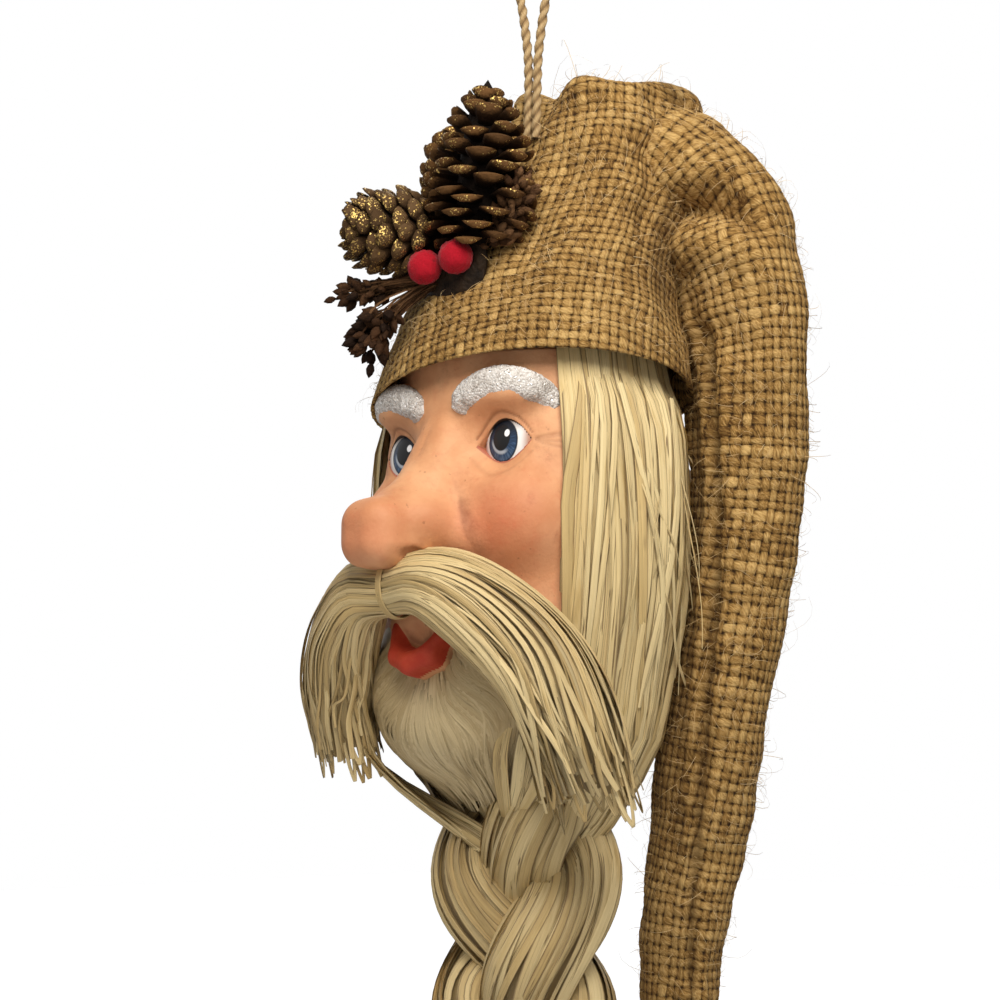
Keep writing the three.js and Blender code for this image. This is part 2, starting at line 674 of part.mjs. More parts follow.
// Head, from the inside out. Each piece is cut by the grown shapes of those that it lies on.
const crownGrown = crown(-GAP, 0);
const crownWall = crownGrown.subtract(crown(CLOTH + GAP, 12));
place("back_board", board(), "board");
place("head_core", cut(core(0), crownWall), "foam");
const coreGrown = core(GAP);
const maskGrown = mask(GAP);
place("face_mask", cut(mask(0), crownWall), "skin");
for (const { name, sign } of SIDES) place(`eyebrow_${name}`, cut(brow(sign), maskGrown, crownGrown), "flock");
const tuftGrown = tuft(GAP);
place("chin_tuft", cut(tuft(0), maskGrown, coreGrown), "husk");
for (const { name, sign } of SIDES) {
  place(`side_hair_${name}`, cut(sideHair(sign, 0), maskGrown, tuftGrown, coreGrown, crownWall), "raffia");
}
const hairGrown = SIDES.map(({ sign }) => sideHair(sign, GAP));
for (const { name, sign } of SIDES) {
  const around = [moustacheTie(GAP), maskGrown, tuftGrown, ...hairGrown];
  place(`moustache_${name}`, cut(wing(sign, 0), ...around), "raffia");
}
place("moustache_tie", cut(moustacheTie(0), maskGrown), "raffia");

// Cap and its stuffing
place("hat_crown", cut(crown(0, 0), crown(CLOTH, 12)), "burlap");
const STUFFING_FLOOR = HAIR_TOP + 7;
const aboveHair = solid(new THREE.BoxGeometry(300, 300, 200).translate(0, 0, STUFFING_FLOOR + 100));
place("crown_stuffing", cut(crown(CLOTH + 2 * GAP, 0).intersect(aboveHair), crownWall, coreGrown), "stuffing");

// Tail of the cap, cut to stay clear of the crown and the hair as it swings
const besideTail = [crownGrown, hairGrown[0]];
const tailClear = besideTail.map((body) => swept(body, TAIL_HINGE, SWING_AXIS, 0, TAIL_SWING));
place("hat_tail", cut(tail(0, 12, 0), tail(CLOTH, 12, 1), ...tailClear), "burlap");
place("tail_stuffing", cut(tail(CLOTH + 2 * GAP, 6, 2), ...tailClear), "stuffing");

// Trim on the cap
const berries = { left: [10.3, -44.2, 38], right: [-1, -47, 36] };
const berryClear = Object.values(berries).map((at) => berry(at, GAP));
for (const [name, at] of Object.entries(berries)) place(`berry_${name}`, berry(at, 0), "berry");
const frontCone = (grow) => pineCone([11.5, -36.5, 43], [0.05, 0.05, 1], BIG_CONE_LENGTH, BIG_CONE_RADIUS, 9, grow);
const sideCone = (grow) => pineCone([-4, -39, 48], [-0.7, -0.7, 0.1], SMALL_CONE_LENGTH, SMALL_CONE_RADIUS, 7, grow);
const rearCone = (grow) => pineCone([-5, -24, 57], [-0.2, 0.05, 0.98], SMALL_CONE_LENGTH, SMALL_CONE_RADIUS, 7, grow);
const cones = [frontCone(GAP), sideCone(GAP), rearCone(GAP)];
place("pine_cone_front", cut(frontCone(0), crownGrown, ...berryClear), "cone");
place("pine_cone_side", cut(sideCone(0), crownGrown, cones[0], ...berryClear), "cone");
place("pine_cone_rear", cut(rearCone(0), crownGrown, cones[0], cones[1]), "cone");
const sprigs = {
  right: [[18, -36, 43], [23, -32.5, 51], [27, -31, 62]],
  side: [[-11, -46, 32], [-19, -51, 31], [-31, -56, 30.5]],
  lower: [[-2.5, -40.5, 32.5], [-15, -49.5, 22.5], [-22, -53.5, 9]],
};
const sprigClear = [];
for (const [name, points] of Object.entries(sprigs)) {
  place(`sprig_${name}`, cut(sprig(points, 0), crownGrown, ...cones, ...berryClear, ...sprigClear), "sprig");
  sprigClear.push(sprig(points, GAP));
}
const pad = new THREE.SphereGeometry(PAD_RADIUS, 14, 8);
pad.scale(1, PAD_THICKNESS / PAD_RADIUS, 1).translate(2, -37, 38);
place("trim_pad", cut(solid(pad), crownGrown, ...cones, ...berryClear, ...sprigClear), "glue");

// Braided beard, cut to stay clear of the head as it lifts
const aboveBraid = [maskGrown, tuftGrown, coreGrown, ...hairGrown, wing(1, GAP), wing(-1, GAP)];
const braidClear = aboveBraid.map((body) => swept(body, BRAID_HINGE, LIFT_AXIS, 0, BRAID_LIFT));
const earlier = [];
["left", "centre", "right"].forEach((name, k) => {
  place(`braid_strand_${name}`, cut(strand(k, 0), ...braidClear, ...earlier), "raffia");
  earlier.push(strand(k, GAP));
});
place("beard_tie", cut(beardTie(), ...earlier), "raffia");
place("beard_tassel", cut(tassel(), ...earlier), "raffia");

place("hanger_loop", cut(twine(), crownGrown, ...cones), "twine");
head.position.copy(LOOP_TOP).negate();

export default root;
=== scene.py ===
"""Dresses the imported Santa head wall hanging: painted face, raffia hair, plaited beard and burlap cap.

Shapes are worked out in the head frame: millimetres, the origin on the head's axis at the cap's rim, +X towards
the figure's own left, -Y the way the face looks and +Z up. row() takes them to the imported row's frame.
"""
from __future__ import annotations

import logging
import math
from dataclasses import dataclass, field
from enum import Enum
from typing import Any, ClassVar, Iterable, Sequence

import bpy
import numpy as np
from mathutils import Matrix

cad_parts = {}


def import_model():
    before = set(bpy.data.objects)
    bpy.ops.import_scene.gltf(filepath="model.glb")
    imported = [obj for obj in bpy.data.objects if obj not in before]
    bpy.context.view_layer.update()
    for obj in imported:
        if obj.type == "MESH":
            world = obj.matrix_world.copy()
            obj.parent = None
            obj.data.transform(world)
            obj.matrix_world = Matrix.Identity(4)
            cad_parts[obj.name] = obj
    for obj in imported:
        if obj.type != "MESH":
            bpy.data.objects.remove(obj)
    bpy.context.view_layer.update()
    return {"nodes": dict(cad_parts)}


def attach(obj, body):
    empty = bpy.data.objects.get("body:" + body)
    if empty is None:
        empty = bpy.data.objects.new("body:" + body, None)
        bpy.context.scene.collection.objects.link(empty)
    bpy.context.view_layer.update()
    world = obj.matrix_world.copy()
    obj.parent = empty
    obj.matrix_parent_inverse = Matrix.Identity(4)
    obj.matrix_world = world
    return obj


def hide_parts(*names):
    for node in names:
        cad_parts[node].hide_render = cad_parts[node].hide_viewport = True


LOG = logging.getLogger("santa_hanging")
MM = 0.001
LOOP_TOP = np.array([12.0, -10.0, 146.0])  # the row's origin, in the head frame
CHIN_WIDE, CHIN_DEEP = 52.0, 46.0  # half sizes of the oval that the chin is cut from
GOLDEN_ANGLE = math.pi * (3.0 - math.sqrt(5.0))
Array = np.ndarray
Material = bpy.types.Material
Point = tuple[float, float, float]
Colour = Point


class Body(Enum):
    """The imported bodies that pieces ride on."""

    HEAD = "head"
    TAIL = "tail"
    BRAID = "braid"


def row(points: Array) -> Array:
    """Head-frame millimetres as row-frame metres."""
    return (np.asarray(points, dtype=float) - LOOP_TOP) * MM


def unit(vectors: Array) -> Array:
    """Vectors along the last axis, scaled to length one."""
    return vectors / np.maximum(np.linalg.norm(vectors, axis=-1, keepdims=True), 1e-9)


def ease(x: Array, low: float, high: float) -> Array:
    """Smooth step from 0 at low to 1 at high: 3t squared minus 2t cubed."""
    t = np.clip((np.asarray(x, dtype=float) - low) / (high - low), 0.0, 1.0)
    return t * t * (3.0 - 2.0 * t)


def hump(x: Array, width: float) -> Array:
    """Smooth hump of height 1 at x = 0, down to 0.37 at that width from it."""
    return np.exp(-((x / width) ** 2))


def arc_length(path: Array) -> Array:
    """Length along a path, (n, 3), up to each of its points."""
    return np.concatenate([[0], np.cumsum(np.linalg.norm(np.diff(path, axis=0), axis=1))])


def spline(keys: Sequence[float], values: Sequence[Any], x: Array) -> Array:
    """Smooth curve through values at rising keys: cubic Hermite spans with finite-difference slopes.

    Args:
        keys: Rising positions of the known values.
        values: One value, or one row of values, for each key.
        x: Positions to read.

    Returns:
        The values at x, with the values' own trailing shape.
    """
    k = np.asarray(keys, dtype=float)
    v = np.asarray(values, dtype=float)
    flat = v.reshape(len(k), -1)
    slope = np.gradient(flat, k, axis=0)
    t = np.clip(np.asarray(x, dtype=float), k[0], k[-1])
    i = np.clip(np.searchsorted(k, t, side="right") - 1, 0, len(k) - 2)
    span = k[i + 1] - k[i]
    s = ((t - k[i]) / span)[..., None]
    span = span[..., None]
    s2, s3 = s * s, s * s * s
    out = (2 * s3 - 3 * s2 + 1) * flat[i] + (s3 - 2 * s2 + s) * span * slope[i]
    out = out + (3 * s2 - 2 * s3) * flat[i + 1] + (s3 - s2) * span * slope[i + 1]
    return out.reshape(np.shape(t) + v.shape[1:])


def waves(points: Array, size: float, seed: int, terms: int = 12) -> Array:
    """Smooth noise of about unit height: a sum of sines along random directions, about `size` mm a ripple.

    Args:
        points: Places to read.
        size: Length of a ripple.
        seed: Which random set to use.
        terms: How many sines.

    Returns:
        The height at each place.
    """
    rng = np.random.default_rng(seed)
    turn = unit(rng.normal(size=(terms, points.shape[-1]))) * (math.tau / size)
    turn = turn * rng.uniform(0.6, 1.5, size=(terms, 1))
    phase = rng.uniform(0, math.tau, size=terms)
    return np.sin(points @ turn.T + phase).sum(axis=-1) / math.sqrt(terms / 2)


@dataclass
class Frames:
    """A path with its tangent, side and depth directions, all (n, 3)."""

    at: Array
    along: Array
    side: Array
    depth: Array

    @classmethod
    def of(cls, at: Array, upright: Sequence[float]) -> "Frames":
        """Directions along a path, with the depth as near to upright as the path allows.

        Args:
            at: Points of the path, (..., n, 3).
            upright: The depth direction to keep near to.

        Returns:
            The path with its directions.
        """
        along = unit(np.gradient(at, axis=-2))
        up = np.asarray(upright, dtype=float)
        depth = unit(up - along * (along @ up)[..., None])
        return cls(at, along, np.cross(depth, along), depth)

    def around(self, turn: Array, flat: float = 1.0) -> Array:
        """Offsets from each point of the path at its own angle, flattened along the depth."""
        return self.side * np.cos(turn)[..., None] + self.depth * (flat * np.sin(turn))[..., None]

    def tube(self, turn: Array, flat: float = 1.0) -> Array:
        """Offsets from each point of the path at every angle, (n, angles, 3)."""
        return np.ascontiguousarray(self.around(turn[:, None], flat).swapaxes(0, 1))


@dataclass
class Patch:
    """A mesh in the making, in head-frame millimetres."""

    points: Array
    faces: Array
    uv: Array | None = None  # one pair for each corner of each face
    values: dict[str, Array] = field(default_factory=dict)

    @classmethod
    def grid(cls, points: Array, uv: Array | None = None, ring: bool = False, **values: Array) -> "Patch":
        """Quads over a grid of points.

        Args:
            points: Points, (rows, columns, 3).
            uv: UVs, (rows, columns, 2), or with one more column where the grid is a ring.
            ring: Whether the last column joins the first.
            **values: Named numbers, one for each point.

        Returns:
            The patch.
        """
        rows, columns = points.shape[:2]
        r, c = np.meshgrid(np.arange(rows - 1), np.arange(columns if ring else columns - 1), indexing="ij")
        right = (c + 1) % columns
        quads = np.stack([r * columns + c, r * columns + right, (r + 1) * columns + right, (r + 1) * columns + c], -1)
        corners = None
        if uv is not None:
            corners = np.stack([uv[r, c], uv[r, c + 1], uv[r + 1, c + 1], uv[r + 1, c]], -2).reshape(-1, 2)
        flat = {name: np.broadcast_to(v, (rows, columns)).reshape(-1) for name, v in values.items()}
        return cls(points.reshape(-1, 3), quads.reshape(-1, 4), corners, flat)

    @classmethod
    def copies(cls, shape: Array, uv: Array | None = None, **values: Array) -> "Patch":
        """Quads over many grids at once: points (count, rows, columns, 3), UVs and values to match.

        Args:
            shape: Points, (count, rows, columns, 3).
            uv: UVs, (count, rows, columns, 2).
            **values: Named numbers, one for each point.

        Returns:
            The patch.
        """
        count, rows, columns = shape.shape[:3]
        one = cls.grid(shape[0])
        faces = (one.faces[None] + (np.arange(count) * rows * columns)[:, None, None]).reshape(-1, 4)
        corners = None if uv is None else uv.reshape(-1, 2)[faces.reshape(-1)]
        flat = {n: np.broadcast_to(v, (count, rows, columns)).reshape(-1) for n, v in values.items()}
        return cls(shape.reshape(-1, 3), faces, corners, flat)

    @classmethod
    def joined(cls, patches: Iterable["Patch"]) -> "Patch":
        """One patch of several that carry the same UVs and values.

        Args:
            patches: What to join.

        Returns:
            The whole.
        """
        parts = list(patches)
        starts = np.cumsum([0] + [len(p.points) for p in parts[:-1]])
        uv = None if parts[0].uv is None else np.concatenate([p.uv for p in parts])
        values = {n: np.concatenate([p.values[n] for p in parts]) for n in parts[0].values}
        faces = np.concatenate([p.faces + s for p, s in zip(parts, starts)])
        return cls(np.concatenate([p.points for p in parts]), faces, uv, values)

    def flipped(self) -> "Patch":
        """The same patch with its faces turned over."""
        uv = None if self.uv is None else self.uv.reshape(-1, 4, 2)[:, ::-1].reshape(-1, 2)
        return Patch(self.points, self.faces[:, ::-1].copy(), uv, self.values)

    def on_side(self, side: float) -> "Patch":
        """A left patch kept as it is for a side of 1, or mirrored to the right for -1."""
        self.points[:, 0] *= side
        return self if side > 0 else self.flipped()

    def object(self, name: str, finish: "Finish", body: Body, *nodes: str) -> bpy.types.Object:
        """Makes the patch a piece of the scene.

        Args:
            name: The piece's name.
            finish: What it is dressed in.
            body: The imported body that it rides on.
            *nodes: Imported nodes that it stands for.

        Returns:
            The piece.
        """
        mesh = bpy.data.meshes.new(name)
        corners = self.faces.shape[1]
        mesh.vertices.add(len(self.points))
        mesh.vertices.foreach_set("co", row(self.points).astype(np.float32).ravel())
        mesh.loops.add(self.faces.size)
        mesh.loops.foreach_set("vertex_index", self.faces.astype(np.int32).ravel())
        mesh.polygons.add(len(self.faces))
        mesh.polygons.foreach_set("loop_start", np.arange(0, self.faces.size, corners, dtype=np.int32))
        mesh.polygons.foreach_set("use_smooth", np.ones(len(self.faces), dtype=bool))
        if self.uv is not None:
            mesh.uv_layers.new(name="UVMap").data.foreach_set("uv", self.uv.astype(np.float32).ravel())
        for key, numbers in self.values.items():
            mesh.attributes.new(key, "FLOAT", "POINT").data.foreach_set("value", numbers.astype(np.float32))
        mesh.update(calc_edges=True)
        mesh.validate()
        piece = bpy.data.objects.new(name, mesh)
        bpy.context.scene.collection.objects.link(piece)
        mesh.materials.append(finish.material())
        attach(piece, body.value)
        if nodes:
            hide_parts(*nodes)
        LOG.info("%s: %d faces", name, len(self.faces))
        return piece


@dataclass(frozen=True)
class Wire:
    """A number in a material's node tree. Operators add Math nodes."""

    paint: "Paint"
    socket: bpy.types.NodeSocket

    def _math(self, operation: str, *others: Any) -> "Wire":
        """A Math node on this number and the others."""
        values = {i: v for i, v in enumerate((self, *others))}
        return self.paint.node("ShaderNodeMath", {"operation": operation}, values)

    def __add__(self, other: Any) -> "Wire":
        """Sum."""
        return self._math("ADD", other)

    __radd__ = __add__

    def __sub__(self, other: Any) -> "Wire":
        """Difference."""
        return self._math("SUBTRACT", other)

    def __rsub__(self, other: float) -> "Wire":
        """Difference from a plain number."""
        return self.paint.node("ShaderNodeMath", {"operation": "SUBTRACT"}, {0: other, 1: self})

    def __mul__(self, other: Any) -> "Wire":
        """Product."""
        return self._math("MULTIPLY", other)

    __rmul__ = __mul__

    def __truediv__(self, other: Any) -> "Wire":
        """Quotient."""
        return self._math("DIVIDE", other)

    def __pow__(self, power: float) -> "Wire":
        """Power."""
        return self._math("POWER", power)

    def floor(self) -> "Wire":
        """Whole part."""
        return self._math("FLOOR")

    def sine(self) -> "Wire":
        """Sine of radians."""
        return self._math("SINE")

    def distance(self) -> "Wire":
        """Size without sign."""
        return self._math("ABSOLUTE")

    def root(self) -> "Wire":
        """Square root."""
        return self._math("SQRT")

    def over(self, limit: Any) -> "Wire":
        """One where it passes the limit."""
        return self._math("GREATER_THAN", limit)

    def most(self, other: Any) -> "Wire":
        """The larger of two."""
        return self._math("MAXIMUM", other)

    def ease(self, low: float, high: float) -> "Wire":
        """Smooth step from 0 at low to 1 at high, or back down where low is the larger.

        Args:
            low: Where it leaves 0.
            high: Where it reaches 1.

        Returns:
            The eased number.
        """
        first, last = (0.0, 1.0) if low < high else (1.0, 0.0)
        values = {
            "Value": self, "From Min": min(low, high), "From Max": max(low, high), "To Min": first, "To Max": last
        }
        return self.paint.node("ShaderNodeMapRange", {"interpolation_type": "SMOOTHSTEP"}, values)


class Paint:
    """A material's node tree in the making, with one method that adds nodes."""

    def __init__(self, name: str) -> None:
        """Starts a material with a Principled shader.

        Args:
            name: The material's name.
        """
        self.material = bpy.data.materials.new(name)
        self.material.use_nodes = True
        self.tree = self.material.node_tree
        self.tree.nodes.clear()
        self.shader = self.tree.nodes.new("ShaderNodeBsdfPrincipled")
        output = self.tree.nodes.new("ShaderNodeOutputMaterial")
        self.tree.links.new(self.shader.outputs[0], output.inputs[0])

    def node(self, kind: str, settings: dict[str, Any], values: dict[Any, Any], out: int | str = 0) -> Wire:
        """Adds a node.

        Args:
            kind: The node's type.
            settings: Its own settings, set first. A list under "stops" fills a colour ramp.
            values: Numbers, colours or wires for its sockets, by name or place.
            out: The output to return.

        Returns:
            That output.
        """
        made = self.tree.nodes.new(kind)
        for key, value in settings.items():
            if key != "stops":
                setattr(made, key, value)
                continue
            while len(made.color_ramp.elements) < len(value):
                made.color_ramp.elements.new(0.5)
            for element, (place, colour) in zip(made.color_ramp.elements, value):
                element.position = place
                element.color = (*colour, 1.0)
        for key, value in values.items():
            self.put(made.inputs[key], value)
        return Wire(self, made.outputs[out])

    def put(self, socket: bpy.types.NodeSocket, value: Any) -> None:
        """Links a wire to a socket, or sets its number or colour.

        Args:
            socket: An input of a node.
            value: What goes in.
        """
        if isinstance(value, Wire):
            self.tree.links.new(value.socket, socket)
        elif isinstance(value, tuple) and socket.type == "RGBA":
            socket.default_value = (*value, 1.0)
        else:
            socket.default_value = value

    def finish(self, bump: Wire | None = None, depth: float = 0.3, **sockets: Any) -> Material:
        """Fills the shader's sockets.

        Args:
            bump: Height for the Bump node, in millimetres.
            depth: The Bump node's strength.
            **sockets: Values by socket name, with underscores for spaces.

        Returns:
            The material.
        """
        for key, value in sockets.items():
            self.put(self.shader.inputs[key.replace("_", " ")], value)
        if bump is not None:
            normal = self.node("ShaderNodeBump", {}, {"Strength": depth, "Distance": MM, "Height": bump}, "Normal")
            self.put(self.shader.inputs["Normal"], normal)
        return self.material

    def place(self) -> Wire:
        """Object coordinates."""
        return self.node("ShaderNodeTexCoord", {}, {}, "Object")

    def uv(self) -> tuple[Wire, Wire]:
        """The two numbers of the piece's UV map."""
        vector = self.node("ShaderNodeUVMap", {"uv_map": "UVMap"}, {})
        return self.part(vector, "X"), self.part(vector, "Y")

    def part(self, vector: Wire, axis: str) -> Wire:
        """One number of a vector."""
        return self.node("ShaderNodeSeparateXYZ", {}, {0: vector}, axis)

    def vector(self, x: Any, y: Any, z: Any = 0.0) -> Wire:
        """A vector of three numbers."""
        return self.node("ShaderNodeCombineXYZ", {}, {0: x, 1: y, 2: z})

    def value(self, name: str) -> Wire:
        """One of the piece's own point values."""
        return self.node("ShaderNodeAttribute", {"attribute_name": name}, {}, "Fac")

    def noise(self, vector: Wire, scale: float, detail: float = 2.0, rough: float = 0.5) -> Wire:
        """Cloudy noise from 0 to 1."""
        values = {"Vector": vector, "Scale": scale, "Detail": detail, "Roughness": rough}
        return self.node("ShaderNodeTexNoise", {}, values)

    def mix(self, share: Any, first: Any, second: Any, blend: str = "MIX") -> Wire:
        """Two colours mixed by a share from 0 to 1."""
        settings = {"data_type": "RGBA", "blend_type": blend, "clamp_factor": True}
        return self.node("ShaderNodeMix", settings, {0: share, 6: first, 7: second}, 2)

    def ramp(self, share: Wire, *stops: tuple[float, Colour]) -> Wire:
        """A colour read from a ramp."""
        return self.node("ShaderNodeValToRGB", {"stops": list(stops)}, {0: share})


@dataclass(frozen=True)
class Finish:
    """A surface finish. Each one makes its material once."""

    slot: ClassVar[str] = ""
    made: ClassVar[dict[Any, Material]] = {}

    def material(self) -> Material:
        """The finish's material, made on first use.

        Returns:
            The material.
        """
        if self not in Finish.made:
            Finish.made[self] = self.dress(Paint(type(self).__name__))
        return Finish.made[self]

    def dress(self, paint: Paint) -> Material:
        """Builds the nodes."""
        raise NotImplementedError


@dataclass(frozen=True)
class PaintedSkin(Finish):
    """Hand-painted face: warm skin, rosy cheeks and nose, brown antiquing in the hollows, painted shade by the nose
    and in the nostrils, and a red lip.
    """

    slot: ClassVar[str] = "skin"
    skin: Colour = (0.58, 0.262, 0.12)
    pale: Colour = (0.73, 0.385, 0.195)
    rose: Colour = (0.56, 0.125, 0.055)
    wash: Colour = (0.15, 0.044, 0.014)
    lip: Colour = (0.42, 0.035, 0.014)

    def dress(self, paint: Paint) -> Material:
        """Layers of paint by the piece's own values, broken up by brush marks.

        Args:
            paint: The node tree to fill.

        Returns:
            The material.
        """
        place = paint.place()
        brush = paint.noise(place, 60.0, 4.0, 0.6)
        grain = paint.noise(place, 900.0, 2.0)
        dirt = paint.noise(place, 170.0, 4.0, 0.7)
        colour = paint.mix(brush.ease(0.3, 0.75), self.skin, self.pale)
        colour = paint.mix(dirt.ease(0.5, 0.8) * 0.26, colour, self.rose)
        stain = paint.noise(place, 110.0, 5.0, 0.75)
        colour = paint.mix(stain.ease(0.56, 0.74) * 0.2, colour, self.wash)
        colour = paint.mix(paint.value("blush") * (0.2 + brush * 0.5 + dirt * 0.5), colour, self.rose)
        # brown antiquing in the hollows, plus painted shade along the nose's border with the cheek and in the
        # nostrils
        hollow = (paint.value("wash") * 1.3 + dirt * 0.8 - 0.55).ease(0.05, 0.85)
        colour = paint.mix(hollow * 0.62, colour, self.wash)
        colour = paint.mix(paint.value("lines") * (0.2 + dirt * 0.7), colour, self.wash)
        speck = paint.noise(place, 420.0, 2.0).ease(0.69, 0.77)
        colour = paint.mix(speck * 0.35, colour, self.wash)
        red = paint.mix(dirt.ease(0.35, 0.75), self.lip, (0.47, 0.06, 0.022))
        colour = paint.mix(paint.value("lip").ease(0.35, 0.65), colour, red)
        colour = paint.mix(paint.value("rim").ease(0.3, 0.7) * 0.75, colour, (0.36, 0.085, 0.06))
        colour = paint.mix(paint.value("lash").ease(0.3, 0.7), colour, (0.03, 0.016, 0.01))
        return paint.finish(
            grain + brush * 2.0 + dirt * 1.5, 0.12, Base_Color=colour, Roughness=0.6, Specular_IOR_Level=0.3
        )


@dataclass(frozen=True)
class PaintedEye(Finish):
    """Enamelled eye. The UV map is millimetres from the middle of the iris."""

    slot: ClassVar[str] = "skin"

    def dress(self, paint: Paint) -> Material:
        """White with painted shadow under the upper lid, blue iris with a dark edge and fine spokes, pupil with a
        painted reflection crescent, and a painted glint.

        Args:
            paint: The node tree to fill.

        Returns:
            The material.
        """
        u, v = paint.uv()
        u, v = u / 1.2, v / 1.2
        reach = (u * u + v * v * 0.8).root()
        turn = paint.node("ShaderNodeMath", {"operation": "ARCTAN2"}, {0: v, 1: u})
        spoke = paint.noise(paint.vector(turn * 6.0, reach * 0.25), 1.6, 3.0, 0.7)
        iris = paint.ramp(
            spoke - v * 0.05, (0.25, (0.006, 0.012, 0.026)), (0.6, (0.024, 0.052, 0.11)), (0.95, (0.1, 0.18, 0.3))
        )
        iris = paint.mix(v.ease(0.4, 3.6) * 0.85, iris, (0.006, 0.007, 0.01))
        iris = paint.mix(reach.ease(4.5, 5.1), iris, (0.006, 0.009, 0.016))
        white = paint.mix((u.distance() / 9.0).ease(0.62, 0.95), (0.82, 0.8, 0.77), (0.42, 0.2, 0.12))
        # painted shadow of the upper lid: the white darkens towards the top
        white = paint.mix(v.ease(1.5, 5.5) * 0.75, white, (0.14, 0.09, 0.07))
        colour = paint.mix(reach.ease(5.35, 5.05), white, iris)
        pupil = (u * u + (v - 0.9) * (v - 0.9) * 0.7).root()
        # painted reflection: a grey-blue crescent round the lower left of the pupil
        shine = (pupil.ease(4.0, 3.4) * pupil.ease(2.7, 3.2)) * (u * -0.5 - v * 0.9).ease(0.6, 2.6)
        colour = paint.mix(shine * 0.8, colour, (0.5, 0.56, 0.62))
        colour = paint.mix(pupil.ease(3.1, 2.8), colour, (0.004, 0.004, 0.005))
        du, dv = u - 1.9, v - 1.9
        colour = paint.mix((du * du + dv * dv * 0.7).root().ease(0.95, 0.7), colour, (0.92, 0.93, 0.95))
        return paint.finish(Base_Color=colour, Roughness=0.4, Specular_IOR_Level=0.25)


@dataclass(frozen=True)
class GlitterFlock(Finish):
    """White brow paste rolled in fine clear glitter."""

    slot: ClassVar[str] = "flock"

    def dress(self, paint: Paint) -> Material:
        """Grains of mixed whites, with a few that flash.

        Args:
            paint: The node tree to fill.

        Returns:
            The material.
        """
        place = paint.place()
        cells = paint.node("ShaderNodeTexVoronoi", {}, {"Vector": place, "Scale": 1500.0}, "Color")
        tone = paint.part(cells, "X")
        ball = paint.node("ShaderNodeTexVoronoi", {}, {"Vector": place, "Scale": 1500.0}, "Distance")
        cloud = paint.noise(place, 160.0, 3.0)
        colour = paint.ramp(
            tone * 0.5 + cloud * 0.6, (0.2, (0.34, 0.29, 0.25)), (0.5, (0.62, 0.57, 0.52)),
            (0.85, (0.84, 0.81, 0.78)),
        )
        flash = tone.over(0.955)
        return paint.finish(
            ball * -1.6 + cloud, 0.42, Base_Color=colour, Roughness=0.85 - flash * 0.65, Metallic=flash * 0.6
        )


